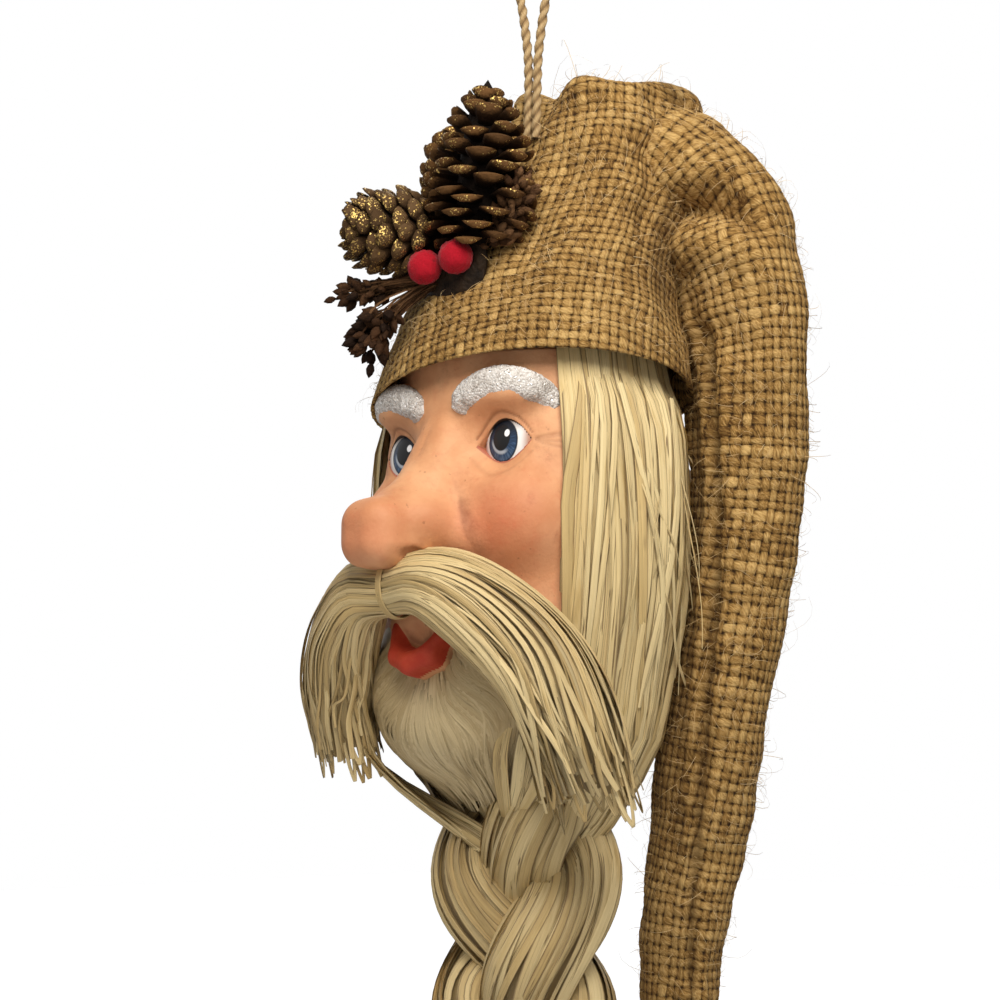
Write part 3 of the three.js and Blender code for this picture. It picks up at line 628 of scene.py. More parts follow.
@dataclass
class Face:
    """Cast face: an oval front with rounded features melted into it, two enamelled eyes and flocked brows."""

    half_angle: float = 60.0
    top: float = 9.0
    bottom: float = -124.0
    wide: float = 52.0
    front: float = 46.0
    eye: Point = (22.4, -20.6, -22.0)
    eyeball: float = 16.0
    socket: Point = (23.0, -24.7, -21.8)
    eye_half_width: float = 9.3
    lid_rise: float = 6.9
    lid_fall: float = 5.6
    lip_line: tuple[Point, ...] = ((11.0, -48.0, -80.0), (6.8, -51.0, -88), (0.0, -52.5, -90.5))

    @staticmethod
    def ball(p: Array, at: Sequence[float], radii: Sequence[float]) -> Array:
        """Signed distance to an ellipsoid, near enough: k0 (k0 - 1) / k1 with k0 and k1 the scaled lengths.

        Args:
            p: Points in the head frame, (..., 3).
            at: Its middle.
            radii: Its half sizes.

        Returns:
            Millimetres outside it, negative inside.
        """
        q = (p - np.asarray(at)) / np.asarray(radii)
        k0 = np.linalg.norm(q, axis=-1)
        k1 = np.linalg.norm(q / np.asarray(radii), axis=-1)
        return k0 * (k0 - 1) / np.maximum(k1, 1e-9)

    @staticmethod
    def rod(p: Array, a: Sequence[float], b: Sequence[float], ra: float, rb: float) -> Array:
        """Signed distance to a round bar from a to b whose radius runs from ra to rb.

        Args:
            p: Points in the head frame, (..., 3).
            a: One end.
            b: The other end.
            ra: Radius at a.
            rb: Radius at b.

        Returns:
            Millimetres outside it, negative inside.
        """
        a, b = np.asarray(a, dtype=float), np.asarray(b, dtype=float)
        h = np.clip(((p - a) @ (b - a)) / ((b - a) @ (b - a)), 0, 1)
        return np.linalg.norm(p - a - h[..., None] * (b - a), axis=-1) - (ra + h * (rb - ra))

    @staticmethod
    def block(p: Array, at: Sequence[float], half: Sequence[float], round_by: float) -> Array:
        """Signed distance to a box of those half sizes, grown by a rounding."""
        q = np.abs(p - np.asarray(at)) - np.asarray(half)
        return np.linalg.norm(np.maximum(q, 0), axis=-1) + np.minimum(q.max(axis=-1), 0) - round_by

    @staticmethod
    def melt(d1: Array, d2: Array, blend: float) -> Array:
        """Union of two shapes with a rounded join of about that size."""
        h = np.clip(0.5 + 0.5 * (d2 - d1) / blend, 0, 1)
        return d2 * (1 - h) + d1 * h - blend * h * (1 - h)

    def carve(self, d1: Array, d2: Array, blend: float) -> Array:
        """The first shape with the second taken away, the edge rounded."""
        return -self.melt(-d1, d2, blend)

    def lips(self, p: Array) -> Array:
        """Distance to the lower lip, a bar that bends in a U."""
        a, b, c = self.lip_line
        return self.melt(self.rod(p, a, b, 2.4, 3.8), self.rod(p, b, c, 3.8, 4.4), 1.5)

    def distance(self, points: Array) -> Array:
        """Signed distance to the face, mirrored about its middle.

        Args:
            points: Points in the head frame, (..., 3).

        Returns:
            Millimetres outside the surface, negative inside.
        """
        p = points.copy()
        p[..., 0] = np.abs(p[..., 0])
        scale = spline([self.bottom, -104, -62, -18, self.top], [0.64, 0.9, 1.0, 1.0, 0.88], p[..., 2])
        front = (
            self.front * spline([self.bottom, -62, -46, -24, -6, self.top], [1, 1, 0.985, 0.92, 0.92, 1.0], p[..., 2])
        )
        oval = np.hypot(p[..., 0] / (self.wide * scale), p[..., 1] / (front * scale))
        d = (oval - 1) * 46.0 * scale
        d = self.melt(d, self.ball(p, (18, -34.5, -7), (17, 7.5, 6.5)), 6)  # brow ridge
        d = self.melt(d, self.ball(p, (26, -33, -46), (16.5, 12.6, 15)), 9)  # cheek
        d = self.carve(d, self.ball(p, (23.5, -45.5, -22.5), (12.5, 12, 10.5)), 5)  # hollow of the eye
        d = self.melt(d, self.rod(p, (0, -33.5, -6), (0, -39.5, -22), 4.4, 4.4), 8)  # root of the nose
        d = self.melt(d, self.rod(p, (0, -39.5, -22), (0, -56, -41), 4.4, 7.4), 7)  # its ridge
        d = self.melt(d, self.rod(p, (2.5, -40.5, -19), (7.4, -53, -48), 4.2, 7.2), 5)  # its flank
        d = self.melt(d, self.rod(p, (9.5, -38.5, -33), (12.8, -44.5, -51), 3.4, 7.4), 7)  # its foot on the cheek
        d = self.melt(d, self.block(p, (0, -62.5, -51.2), (2.6, 6.0, 2.8), 8.4), 7)  # its tip
        d = self.melt(d, self.ball(p, (9.4, -54.5, -46.8), (6.0, 8.5, 6.4)), 4)  # its wing
        d = self.carve(d, self.ball(p, (9.6, -62.0, -58.4), (2.9, 4.8, 2.4)), 1.5)  # nostril
        d = self.melt(d, self.ball(p, (0, -33, -110), (16, 9, 11)), 9)  # chin
        d = self.melt(d, self.ball(p, (0, -44, -76), (17, 6, 9)), 7)  # upper lip
        d = self.carve(d, self.ball(p, (0, -55, -81.5), (6.6, 6.5, 5.6)), 2)  # mouth
        d = self.melt(d, self.lips(p), 1.6)
        lid = self.ball(p, self.socket, (12.1, 12.1, 12.1))
        return self.melt(d, lid, 1.8)

    def opening(self, p: Array) -> tuple[Array, Array]:
        """Height inside the almond of the eye: millimetres below the upper lid and above the lower one.

        Args:
            p: Points in the head frame, (..., 3).

        Returns:
            The two heights.
        """
        off = (np.abs(p[..., 0]) - self.socket[0] - 0.3) / self.eye_half_width
        arch = (1 - off * off) * (1 + 0.1 * off)
        z = p[..., 2] - self.eye[2] - 0.4 * off
        return self.lid_rise * arch - z, z + self.lid_fall * arch

    def crow_feet(self, side: Array, z: Array) -> Array:
        """Fine lines that fan out from the outer corner of the eye, 1 along each and 0 away from it.

        Args:
            side: Millimetres from the middle of the face.
            z: Height.

        Returns:
            Strength of the lines.
        """
        u, v = side - self.socket[0] - 10.2, z - self.eye[2] - 0.6
        along = ease(u, 0.0, 1.5) * ease(u, 11.0, 6.0)
        total = np.zeros_like(u)
        for slope, bend in ((0.35, -0.02), (0.02, 0.012), (-0.3, 0.02), (-0.62, 0.03)):
            total = total + hump(v - slope * u - bend * u * u, 0.5)
        return total * along

    def surface(self) -> Patch:
        """The face as a height over its own axis: rays from outside step inwards until they meet the shape.

        Returns:
            The face, with the values that its paint reads.
        """
        columns, rows = 236, 300
        sweep = np.linspace(-1, 1, columns)
        a = np.radians(self.half_angle * (0.55 * sweep + 0.45 * sweep**3))
        z = np.linspace(self.bottom, self.top, rows)
        angle, level = np.meshgrid(a, z)
        out = np.stack([np.sin(angle), -np.cos(angle), np.zeros_like(angle)], -1)
        axis = np.stack([np.zeros_like(level), np.zeros_like(level), level], -1)
        reach = np.full(level.shape, 92.0)
        for _ in range(80):
            reach = reach - 0.8 * self.distance(axis + out * reach[..., None])
        for _ in range(3):
            reach[:, 1:-1] = (reach[:, :-2] + 2 * reach[:, 1:-1] + reach[:, 2:]) / 4
            reach[1:-1] = (reach[:-2] + 2 * reach[1:-1] + reach[2:]) / 4
        points = axis + out * reach[..., None]
        upper, lower = self.opening(points)
        inside = ease(np.minimum(upper, lower), -0.35, 0.55)
        normal = grid_normals(points)
        normal = normal * np.sign(np.sum(normal * out, -1, keepdims=True))
        hollow = np.clip(1 - self.distance(points + normal * 5.0) / 5.0, 0, 1)
        hollow = np.max([np.roll(hollow, k, axis=1) for k in range(-1, 2)], axis=0)
        for _ in range(4):
            hollow[:, 1:-1] = (hollow[:, :-2] + 2 * hollow[:, 1:-1] + hollow[:, 2:]) / 4
        side = np.abs(points[..., 0])
        level = points[..., 2]
        # painted shade along the border between nose and cheek, added to the brown antiquing of the hollows
        border = spline([-62, -52, -42, -34], [21.5, 20.0, 16.5, 12.0], level)
        past = side - border
        edge_shade = ease(past, -0.9, 0.5) * hump(np.maximum(past, 0), 4.5)
        hollow = hollow + 0.36 * edge_shade * ease(level, -32, -42) * ease(level, -70, -58)
        # painted shade inside the nostrils, added to the same value
        nostril = ((side - 10.6) / 2.4) ** 2 + ((points[..., 1] + 62.0) / 4.2) ** 2 + ((level + 57.4) / 1.9) ** 2
        hollow = hollow + 1.1 * np.exp(-nostril)
        blush = 0.85 * np.exp(-(((side - 29) / 14) ** 2) - ((points[..., 2] + 48) / 13) ** 2)
        blush = (
            blush
            + 0.6 * np.exp(-((side / 14) ** 2) - ((points[..., 2] + 53) / 9) ** 2) * ease(-points[..., 1], 58, 74)
        )
        near = ease(np.abs(side - self.socket[0] - 0.3), self.eye_half_width + 3, self.eye_half_width)
        lash = hump(upper + 0.2, 0.5) * near * (lower > -0.5) * (0.35 + 0.65 * ease(side - self.socket[0], -8, -1))
        rim = hump(lower + 0.3, 0.7) * near * (upper > -0.5)
        fold = hump(upper + 2.6, 0.5) * (lower > 1.5) + 0.3 * hump(lower + 5.0, 0.7) * (upper > 2)
        lines = fold * near + 0.4 * self.crow_feet(side, points[..., 2])
        mirrored = points.copy()
        mirrored[..., 0] = side
        lip = ease(self.lips(mirrored), 1.3, 0.1)
        edge = np.minimum(
            np.minimum(np.arange(columns), np.arange(columns)[::-1])[None],
            np.minimum(np.arange(rows), np.arange(rows)[::-1])[:, None],
        )
        tuck = np.array([8.0, 4.0, 1.5, 0.4])
        drop = np.where(edge < 4, tuck[np.minimum(edge, 3)], 0.0) + 4.5 * inside + 0.4 * lines
        points = points - out * drop[..., None]
        return Patch.grid(points, blush=blush, wash=hollow, lash=lash, rim=rim, lip=lip, lines=np.minimum(lines, 1))

    def eyes(self) -> Patch:
        """Two domes behind the lids, each a part of a sphere, with UVs in millimetres from its iris.

        Returns:
            Both eyes.
        """
        h, v = np.meshgrid(np.radians(np.linspace(-40, 42, 48)), np.radians(np.linspace(-32, 32, 32)))
        domes = []
        for side in (1.0, -1.0):
            turn = side * h
            away = np.stack([np.sin(turn) * np.cos(v), -np.cos(turn) * np.cos(v), np.sin(v)], -1)
            centre = np.array([side * self.eye[0], self.eye[1], self.eye[2]])
            uv = np.stack([turn - math.radians(2), v - math.radians(2)], -1) * self.eyeball
            domes.append(Patch.grid(centre + away * self.eyeball, uv))
        return Patch.joined(domes)

    def brow(self, side: float) -> Patch:
        """A grainy half-round strip over the eye, thick in its middle, pressed on to the face.

        Args:
            side: 1 for the figure's left and -1 for its right.

        Returns:
            The brow.
        """
        keys = np.array([(9.6, -12.2), (13.0, -7.0), (20, -3.9), (28, -3.4), (35.5, -6.2), (42.0, -11.0)])
        t = np.linspace(0, 1, 74)
        flat = spline(np.linspace(0, 1, 6), keys, t)
        angle = np.arctan2(flat[:, 0], np.sqrt(np.maximum(46.0**2 - flat[:, 0] ** 2 * 0.78, 1)))
        out = np.stack([np.sin(angle), -np.cos(angle), np.zeros_like(angle)], -1)
        axis = np.stack([0 * t, 0 * t, flat[:, 1]], -1)
        reach = np.full(t.shape, 70.0)
        for _ in range(40):
            reach = reach - 0.82 * self.distance(axis + out * reach[:, None])
        at = axis + out * (reach - 1.2)[:, None]
        frames = Frames.of(at, (0.35, -1.0, 0.1))
        ring = np.linspace(0, math.tau, 40, endpoint=False)
        size = (
            5.0 * spline([0, 0.03, 0.1, 0.35, 0.72, 0.93, 0.98, 1], [0.04, 0.55, 0.8, 1.0, 0.95, 0.75, 0.5, 0.03], t)
        )
        away = frames.tube(ring, 0.66)
        points = at[:, None] + size[:, None, None] * away
        grain = 0.09 * waves(points, 1.3, 21, 30) + 0.1 * waves(points, 5.0, 22)
        points = points + unit(away) * (grain * np.minimum(1, size / 2.5)[:, None])[..., None]
        return Patch.grid(points, ring=True).on_side(side)

    def core(self) -> Patch:
        """The foam egg behind the mask: an oval ring that closes at both ends, shallow where the mask covers it.

        Returns:
            The egg.
        """
        z, turn = np.linspace(-121, 48, 40), np.linspace(0, math.tau, 61)
        scale = (1 - np.abs((z + 36.5) / 84.6) ** 4)[:, None] ** 0.25
        y = np.where(np.cos(turn) > 0, 22.0, 45.4 - 5.0 * ease(z, -14, 4)[:, None]) * -np.cos(turn)
        tall = np.broadcast_to(z[:, None], (40, 61))
        return Patch.grid(np.stack([scale * 41 * np.sin(turn), scale * y, tall], -1))

    def build(self) -> None:
        """Makes the core, the mask, the eyes and the brows."""
        self.core().object("foam_core", Foam(), Body.HEAD, "head_core")
        self.surface().object("painted_face", PaintedSkin(), Body.HEAD, "face_mask")
        self.eyes().object("painted_eyes", PaintedEye(), Body.HEAD)
        self.brow(1.0).object("brow_left", GlitterFlock(), Body.HEAD, "eyebrow_left")
        self.brow(-1.0).object("brow_right", GlitterFlock(), Body.HEAD, "eyebrow_right")


@dataclass(frozen=True)
class Burlap(Finish):
    """Coarse jute cloth. The UV map counts yarns: warp along U, weft along V."""

    slot: ClassVar[str] = "burlap"
    yarn: Colour = (0.315, 0.176, 0.05)
    pale: Colour = (0.62, 0.405, 0.155)
    dark: Colour = (0.1, 0.046, 0.011)

    def dress(self, paint: Paint) -> Material:
        """Plain weave: the yarn that lies on top swaps at each crossing, and each yarn has its own tone.

        Args:
            paint: The node tree to fill.

        Returns:
            The material.
        """
        u, v = paint.uv()
        place = paint.place()
        loose = paint.noise(paint.vector(u * 0.55, v * 0.04, 2.0), 1.0, 2.0) - 0.5
        tight = paint.noise(paint.vector(u * 0.04, v * 0.55, 5.0), 1.0, 2.0) - 0.5
        u = u + (paint.noise(place, 90.0, 3.0, 0.6) - 0.5) * 0.6 + loose * 1.1
        v = v + (paint.noise(place, 70.0, 3.0, 0.6) - 0.5) * 0.6 + tight * 1.1
        i, j = u.floor(), v.floor()
        across_u, across_v = (u - i - 0.5) * 2.0, (v - j - 0.5) * 2.0
        warp_parity = 1.0 - 2.0 * (i - 2.0 * (i * 0.5).floor())
        weft_parity = 1.0 - 2.0 * (j - 2.0 * (j * 0.5).floor())
        warp_wave = warp_parity * (v * math.pi).sine()
        weft_wave = weft_parity * (u * math.pi).sine() * -1.0
        warp = (1.0 - across_u * across_u * 1.35).most(0.0).root() * 0.75 + warp_wave * 0.55
        weft = (1.0 - across_v * across_v * 1.35).most(0.0).root() * 0.75 + weft_wave * 0.55
        top = warp.over(weft)
        height = warp.most(weft)
        warp_tone = paint.noise(paint.vector(i * 5.37, v * 0.1, 3.0), 1.0, 2.0)
        weft_tone = paint.noise(paint.vector(u * 0.1, j * 5.37, 7.0), 1.0, 2.0)
        tone = top * warp_tone + (1.0 - top) * weft_tone
        along = top * v + (1.0 - top) * u
        across = top * across_u + (1.0 - top) * across_v
        fibre = paint.noise(paint.vector(across * 2.4 + along * 2.6, along * 1.1, tone * 60.0), 1.0, 3.0, 0.7)
        strand = paint.noise(paint.vector(across * 7.0 + along * 5.0, along * 1.6, tone * 90.0), 1.0, 2.0)
        # painted shade in the low places and holes of the weave
        gap_shade = height.ease(0.05, 0.85)
        worn = paint.noise(place, 22.0, 3.0)
        share = (tone - 0.5) * 1.2 + (fibre - 0.5) * 1.5 + (strand - 0.5) * 0.9 + (worn - 0.5) * 0.5
        # painted highlight: the yarn is lighter where it stands highest
        share = share + height.ease(0.5, 1.3) * 0.24 + 0.32
        colour = paint.ramp(share, (0.05, self.dark), (0.42, self.yarn), (0.9, self.pale))
        colour = paint.mix(gap_shade, (0.03, 0.014, 0.004), colour)
        colour = paint.mix(paint.value("shade") * 0.8, colour, (0.055, 0.027, 0.008))
        bump = height * 0.7 + fibre * 0.55 + strand * 0.4
        return paint.finish(bump, 0.9, Base_Color=colour, Roughness=0.92, Specular_IOR_Level=0.2)


@dataclass(frozen=True)
class Jute(Finish):
    """Two-ply twine. U runs round the twine and V along it, both in millimetres."""

    slot: ClassVar[str] = "twine"

    def dress(self, paint: Paint) -> Material:
        """Fibres that follow the twist, from tan in the grooves to straw on the plies, as painted shade and
        highlight.

        Args:
            paint: The node tree to fill.

        Returns:
            The material.
        """
        u, v = paint.uv()
        fibre = paint.noise(paint.vector(u * 2.2 + v * 0.9, v * 0.35), 1.0, 3.0, 0.7)
        ply = paint.value("ply")
        # painted shade and highlight: darker in the grooves between the plies, paler on their crests
        colour = paint.ramp(
            fibre * 0.6 + ply * 0.5, (0.2, (0.1, 0.055, 0.02)), (0.6, (0.32, 0.2, 0.085)), (1.05, (0.6, 0.44, 0.23))
        )
        return paint.finish(fibre, 0.5, Base_Color=colour, Roughness=0.9)


@dataclass(frozen=True)
class Foam(Finish):
    """Beaded foam of the core."""

    slot: ClassVar[str] = "foam"

    def dress(self, paint: Paint) -> Material:
        """Pale beads with fine dents between them, the dents darkened as painted shade.

        Args:
            paint: The node tree to fill.

        Returns:
            The material.
        """
        beads = paint.node(
            "ShaderNodeTexVoronoi", {"feature": "DISTANCE_TO_EDGE"}, {"Vector": paint.place(), "Scale": 420.0}
        )
        # painted shade: darker in the dents between the beads
        colour = paint.ramp(beads, (0.0, (0.5, 0.45, 0.36)), (0.22, (0.72, 0.67, 0.57)))
        return paint.finish(beads, 0.6, Base_Color=colour, Roughness=0.85)


@dataclass(frozen=True)
class Fibreboard(Finish):
    """Brown pressed board of the back."""

    slot: ClassVar[str] = "board"

    def dress(self, paint: Paint) -> Material:
        """Pressed fibres with a few darker flecks.

        Args:
            paint: The node tree to fill.

        Returns:
            The material.
        """
        place = paint.place()
        fleck = paint.noise(place, 620.0, 4.0, 0.7)
        cloud = paint.noise(place, 38.0, 3.0)
        colour = paint.ramp(fleck * 0.7 + cloud * 0.4, (0.3, (0.17, 0.105, 0.055)), (0.8, (0.40, 0.28, 0.165)))
        return paint.finish(fleck, 0.25, Base_Color=colour, Roughness=0.82)


def weave(u: Array, v: Array) -> Array:
    """Height of a plain weave, from about -0.5 to 1: each yarn is half round and waves over and under the others.

    Args:
        u: Place across the warp, counted in yarns.
        v: Place across the weft, likewise.

    Returns:
        The height.
    """
    i, j = np.floor(u), np.floor(v)
    warp = (
        0.75 * np.sqrt(np.maximum(1 - 0.95 * (2 * (u - i) - 1) ** 2, 0))
        + 0.55 * np.where(i % 2, -1, 1) * np.sin(np.pi * v)
    )
    weft = (
        0.75 * np.sqrt(np.maximum(1 - 0.95 * (2 * (v - j) - 1) ** 2, 0))
        - 0.55 * np.where(j % 2, -1, 1) * np.sin(np.pi * u)
    )
    return np.maximum(warp, weft) - 0.6


def grid_normals(points: Array) -> Array:
    """Normals of a grid, (rows, columns, 3), from its two sets of differences."""
    return unit(np.cross(np.gradient(points, axis=1), np.gradient(points, axis=0)))


@dataclass
class Cap:
    """Burlap stocking cap: crown with a turned-in hem, and a long stuffed tail that folds over beside the head."""

    pitch: float = 3.3  # yarn to yarn
    pile: float = 0.4  # height of the weave
    rim: Point = (-3.0, 57.5, 48.5)
    tilt: tuple[float, float] = (0.11, -0.13)
    top: float = 104.0
    slope: float = 0.2276  # sine of the crown's taper
    apex: float = 233.0  # rim to the point of the unrolled crown
    tail_width: float = 21.0
    tail_depth: float = 13.0
    tail_length: float = 345.0
    crown_rows: int = 188
    hem_rows: int = 14  # of those, inside the rim
    tail_rows: int = 540
    route: tuple[Point, ...] = (
        (18, 22, 74), (36, 27, 77), (51, 33, 62), (60.5, 36, 38), (64, 36.5, 10), (63, 36.5, -20), (58, 36, -56),
        (51, 35, -95), (42.5, 33.5, -135), (36.5, 32.5, -168), (34, 32, -200), (34, 32, -232),
    )

    def crown_point(self, angle: Array, up: Array, inset: float = 0.0) -> Array:
        """Point of the crown: leaning, narrowing rings, smoothly joined, with soft folds.

        Args:
            angle: Radians from the face towards the figure's left.
            up: Place on the profile, from 0 at the rim to 7 at the middle of the top.
            inset: How far inside the cloth's outer face.

        Returns:
            Points in the head frame.
        """
        z, w, d = self.rim
        rings = np.array([
            (z, 0, 0, w, d), (16, 1, 1.5, w - 4.5, d - 4.5), (38, 3.5, 4.5, 46, 38.5), (60, 8, 12, 39.5, 33),
            (80, 12.5, 16.5, 34, 28.5), (self.top - 14, 12.5, 18.2, 32, 26.5), (self.top - 4, 13, 18.6, 28.3, 22.8),
            (self.top - 0.3, 13, 19, 16, 12), (self.top, 13, 19, 0.01, 0.01),
        ])
        level, cx, cy, wide, deep = np.moveaxis(spline(np.arange(9), rings, up), -1, 0)
        fold = 0.02 * np.cos(5 * angle + 0.6 * up) + 0.014 * np.sin(3 * angle - 1.3 * up + 0.8)
        fold = fold * ease(up, 0.4, 1.6)
        facing = np.cos(angle - math.radians(118))
        toward = facing**7 * (facing > 0)
        shoulder = 7.0 * toward * ease(up, 2.6, 4.4) * (1 - ease(up, 6.4, 7.6))
        crease = -3.2 * hump(angle - math.radians(84), 0.13) * ease(up, 1.6, 3.2) * (1 - ease(up, 5.2, 6.6))
        x = cx + np.maximum(wide - inset, 0.01) * (1 + fold) * np.sin(angle)
        y = cy - np.maximum(deep - inset, 0.01) * (1 + fold) * np.cos(angle)
        x = x + (shoulder + crease) * np.sin(angle)
        y = y - (shoulder + crease) * np.cos(angle)
        drop = 1 - ease(level, z, 60)
        level = level + drop * (self.tilt[0] * x + self.tilt[1] * y) - inset * ease(up, 5.0, 7.0)
        return np.stack([x, y, level], -1)

    def crown_patch(self) -> Patch:
        """Crown from inside its hem, round the rim and over the top, raised by its weave.

        Returns:
            The crown, with UVs in yarns.
        """
        columns, rows, hem = 470, self.crown_rows, self.hem_rows
        angle = np.linspace(0, math.tau, columns, endpoint=False)
        up = np.concatenate([np.linspace(0.62, 0.02, hem), np.linspace(0.0, 7.98, rows - hem)])
        inset = np.concatenate([np.full(hem - 2, 1.9), [1.5, 0.7], np.zeros(rows - hem)])
        a, s = np.meshgrid(angle, up)
        points = np.stack([self.crown_point(angle, np.full(columns, u), i) for u, i in zip(up, inset)])
        step = np.linalg.norm(np.diff(points, axis=0), axis=-1).mean(axis=1)
        rise = np.concatenate([[0], np.cumsum(step)])
        rise = rise - rise[hem]
        centre = math.radians(45)
        around = np.linspace(0, math.tau, columns + 1)
        turn = (np.where(around > centre + math.pi, around - math.tau, around) - centre) * self.slope
        reach = (self.apex - rise)[:, None]
        uv = np.stack([reach * np.sin(turn), self.apex - reach * np.cos(turn)], -1) / self.pitch + 400.0
        normal = grid_normals(np.concatenate([points[:, -2:], points, points[:, :2]], 1))[:, 2:-2]
        height = self.pile * weave(uv[:, :-1, 0], uv[:, :-1, 1]) * (1 - ease(s, 7.3, 7.9))
        sag = (0.7 + 1.1 * ease(s, 3.5, 6.0)) * waves(points, 26.0, 3) * ease(s, 0.3, 1.0)
        points = points + normal * (height + sag)[..., None]
        return Patch.grid(points, uv, ring=True, shade=hump(a - math.radians(100), 0.16) * ease(s, 0.6, 1.8) * 0.6)

    def tail_frames(self, t: Array) -> Frames:
        """The tail's route at shares t of its length.

        Args:
            t: Shares of the tail's length.

        Returns:
            The route there.
        """
        keys = np.linspace(0, 1, len(self.route))
        fine = spline(keys, self.route, np.linspace(0, 1, 600))
        length = arc_length(fine)
        at = np.stack([np.interp(t * length[-1], length, fine[:, k]) for k in range(3)], -1)
        return Frames.of(at, (0, 1, 0))

    @staticmethod
    def buckle(degrees: Array, s: Array) -> Array:
        """Height of the cloth where the tail bends over: one deep pocket on the face side with a full lip below it.

        The pocket's line runs on down the tail as it goes round, and a shallow second one lies lower.

        Args:
            degrees: Angle round the section.
            s: Share of the tail's length.

        Returns:
            Millimetres out from the plain section.
        """
        line = 0.136 + 0.00062 * (264 - degrees)
        band = ease(degrees, 196, 236) * ease(degrees, 330, 285)
        pocket = -9.5 * hump(s - line, 0.019) + 3.2 * hump(s - line - 0.046, 0.024)
        crest = 2.2 * hump(s - line + 0.05, 0.026)
        second = -2.6 * hump(s - 0.275 - 0.0003 * (270 - degrees), 0.02) * ease(degrees, 215, 250)
        back = 1.2 * np.sin(s * 60 + 0.03 * degrees) * hump(s - 0.14, 0.09) * (1 - ease(degrees, 170, 200))
        return (pocket + crest + second * ease(degrees, 335, 300)) * band + back

    def tail_patch(self) -> Patch:
        """Tail: an oval section carried along its route to a tip, with a puckered seam down its outer edge.

        Returns:
            The tail, with UVs in yarns.
        """
        columns, rows = 176, self.tail_rows
        t = np.linspace(0.0, 1.0, rows)
        frames = self.tail_frames(t)
        angle = np.linspace(0, math.tau, columns, endpoint=False)
        a, s = np.meshgrid(angle, t)
        wide = (
            self.tail_width
            * spline([0, 0.08, 0.3, 0.7, 0.86, 0.95, 0.99, 1], [0.85, 1, 1, 0.87, 0.72, 0.5, 0.2, 0.01], t)
        )
        deep = (
            self.tail_depth
            * spline([0, 0.14, 0.3, 0.7, 0.86, 0.95, 0.99, 1], [1.25, 1.25, 1, 1, 0.86, 0.6, 0.25, 0.01], t)
        )
        mm = s * self.tail_length
        off = a - np.radians(254 - 130 * (s - 0.6))
        pucker = 0.55 * np.sin(mm * 0.62 + 1.3 * np.sin(mm * 0.11)) * hump(off, 0.34)
        groove = -4.4 * hump(off, 0.12) + 1.4 * hump(np.abs(off) - 0.3, 0.15)
        groove = groove * ease(s, 0.2, 0.3) * (1 - 0.4 * ease(s, 0.55, 0.8))
        inner = ease(off, 0.06, 0.4) * ease(a, 6.28, 5.6) * ease(s, 0.2, 0.28)
        shade = 0.75 * hump(off, 0.13) * ease(s, 0.2, 0.3) + inner * (0.6 - 0.4 * ease(s, 0.6, 0.85))
        folds = 0.7 * np.sin(mm * 0.06 + 1.7 * np.cos(a + 1.1)) * ease(s, 0.3, 0.5) + self.buckle(np.degrees(a), s)
        swell = 1 + 0.015 * np.sin(26 * s) * np.cos(a) + 0.34 * hump(s - 0.27, 0.12) * np.maximum(np.cos(a), 0) ** 2
        fade = np.minimum(1, wide / 9.0)[:, None]
        extra = (pucker + groove + folds - 2.0 * inner) * fade * ease(s, 0.02, 0.1)
        across = wide[:, None] * swell * np.cos(a) + extra * np.cos(a)
        through = deep[:, None] * np.sin(a) + extra * np.sin(a)
        points = (
            frames.at[:, None] + frames.side[:, None] * across[..., None] + frames.depth[:, None] * through[..., None]
        )
        girth = np.linspace(-0.5, 0.5, columns + 1) * 112.0
        shrink = np.interp(t, [0, 0.7, 0.9, 1], [1.04, 0.97, 0.8, 0.3])
        cloth = np.broadcast_arrays(girth[None] * shrink[:, None], (t * self.tail_length)[:, None])
        uv = np.stack(cloth, -1) / self.pitch + 200.0
        normal = grid_normals(np.concatenate([points[:, -2:], points, points[:, :2]], 1))[:, 2:-2]
        flip = np.sign(np.sum(normal[200, 0] * (points[200, 0] - frames.at[200])))
        height = self.pile * weave(uv[:, :-1, 0], uv[:, :-1, 1]) * fade + 0.3 * waves(points, 20.0, 9) * fade
        patch = Patch.grid(points + flip * normal * height[..., None], uv, ring=True, shade=np.minimum(shade, 1))
        return patch if flip > 0 else patch.flipped()

    @staticmethod
    def fuzz(grid: Array, count: int, seed: int) -> Patch:
        """Loose fibres: each leaves a random place of the cloth, bends over and comes back towards it.

        Args:
            grid: The cloth's points, (rows, columns, 3).
            count: How many fibres.
            seed: Which random set to use.

        Returns:
            The fibres, as thin strips.
        """
        rng = np.random.default_rng(seed)
        rows = len(grid)
        cell = np.cross(np.gradient(grid, axis=1), np.gradient(grid, axis=0))
        area = np.linalg.norm(cell, axis=-1) * (np.arange(rows) > 16)[:, None]
        r, c = np.divmod(rng.choice(area.size, count, p=(area / area.sum()).ravel()), grid.shape[1])
        spot = grid[r, c]
        out = unit(cell[r, c])
        out = out * np.sign(np.sum(out * (spot - grid.mean(axis=1)[r]), -1, keepdims=True))
        lie = unit(np.cross(out, rng.normal(size=(count, 3))))
        t = np.linspace(0, 1, 6)[:, None]
        size = rng.gamma(3.0, 1.5, count)[:, None, None]
        rise = rng.uniform(0.15, 0.75, count)[:, None, None]
        swerve = np.cross(out, lie)[:, None] * rng.normal(0, 0.5, count)[:, None, None]
        at = spot[:, None] + size * (lie[:, None] * t + out[:, None] * rise * np.sin(2.4 * t) + swerve * t * t)
        return Strips(
            at, np.broadcast_to(out[:, None], at.shape), 0.16 * (1 - 0.5 * t[:, 0]), rng.uniform(0, 1, count)
        ).patch()

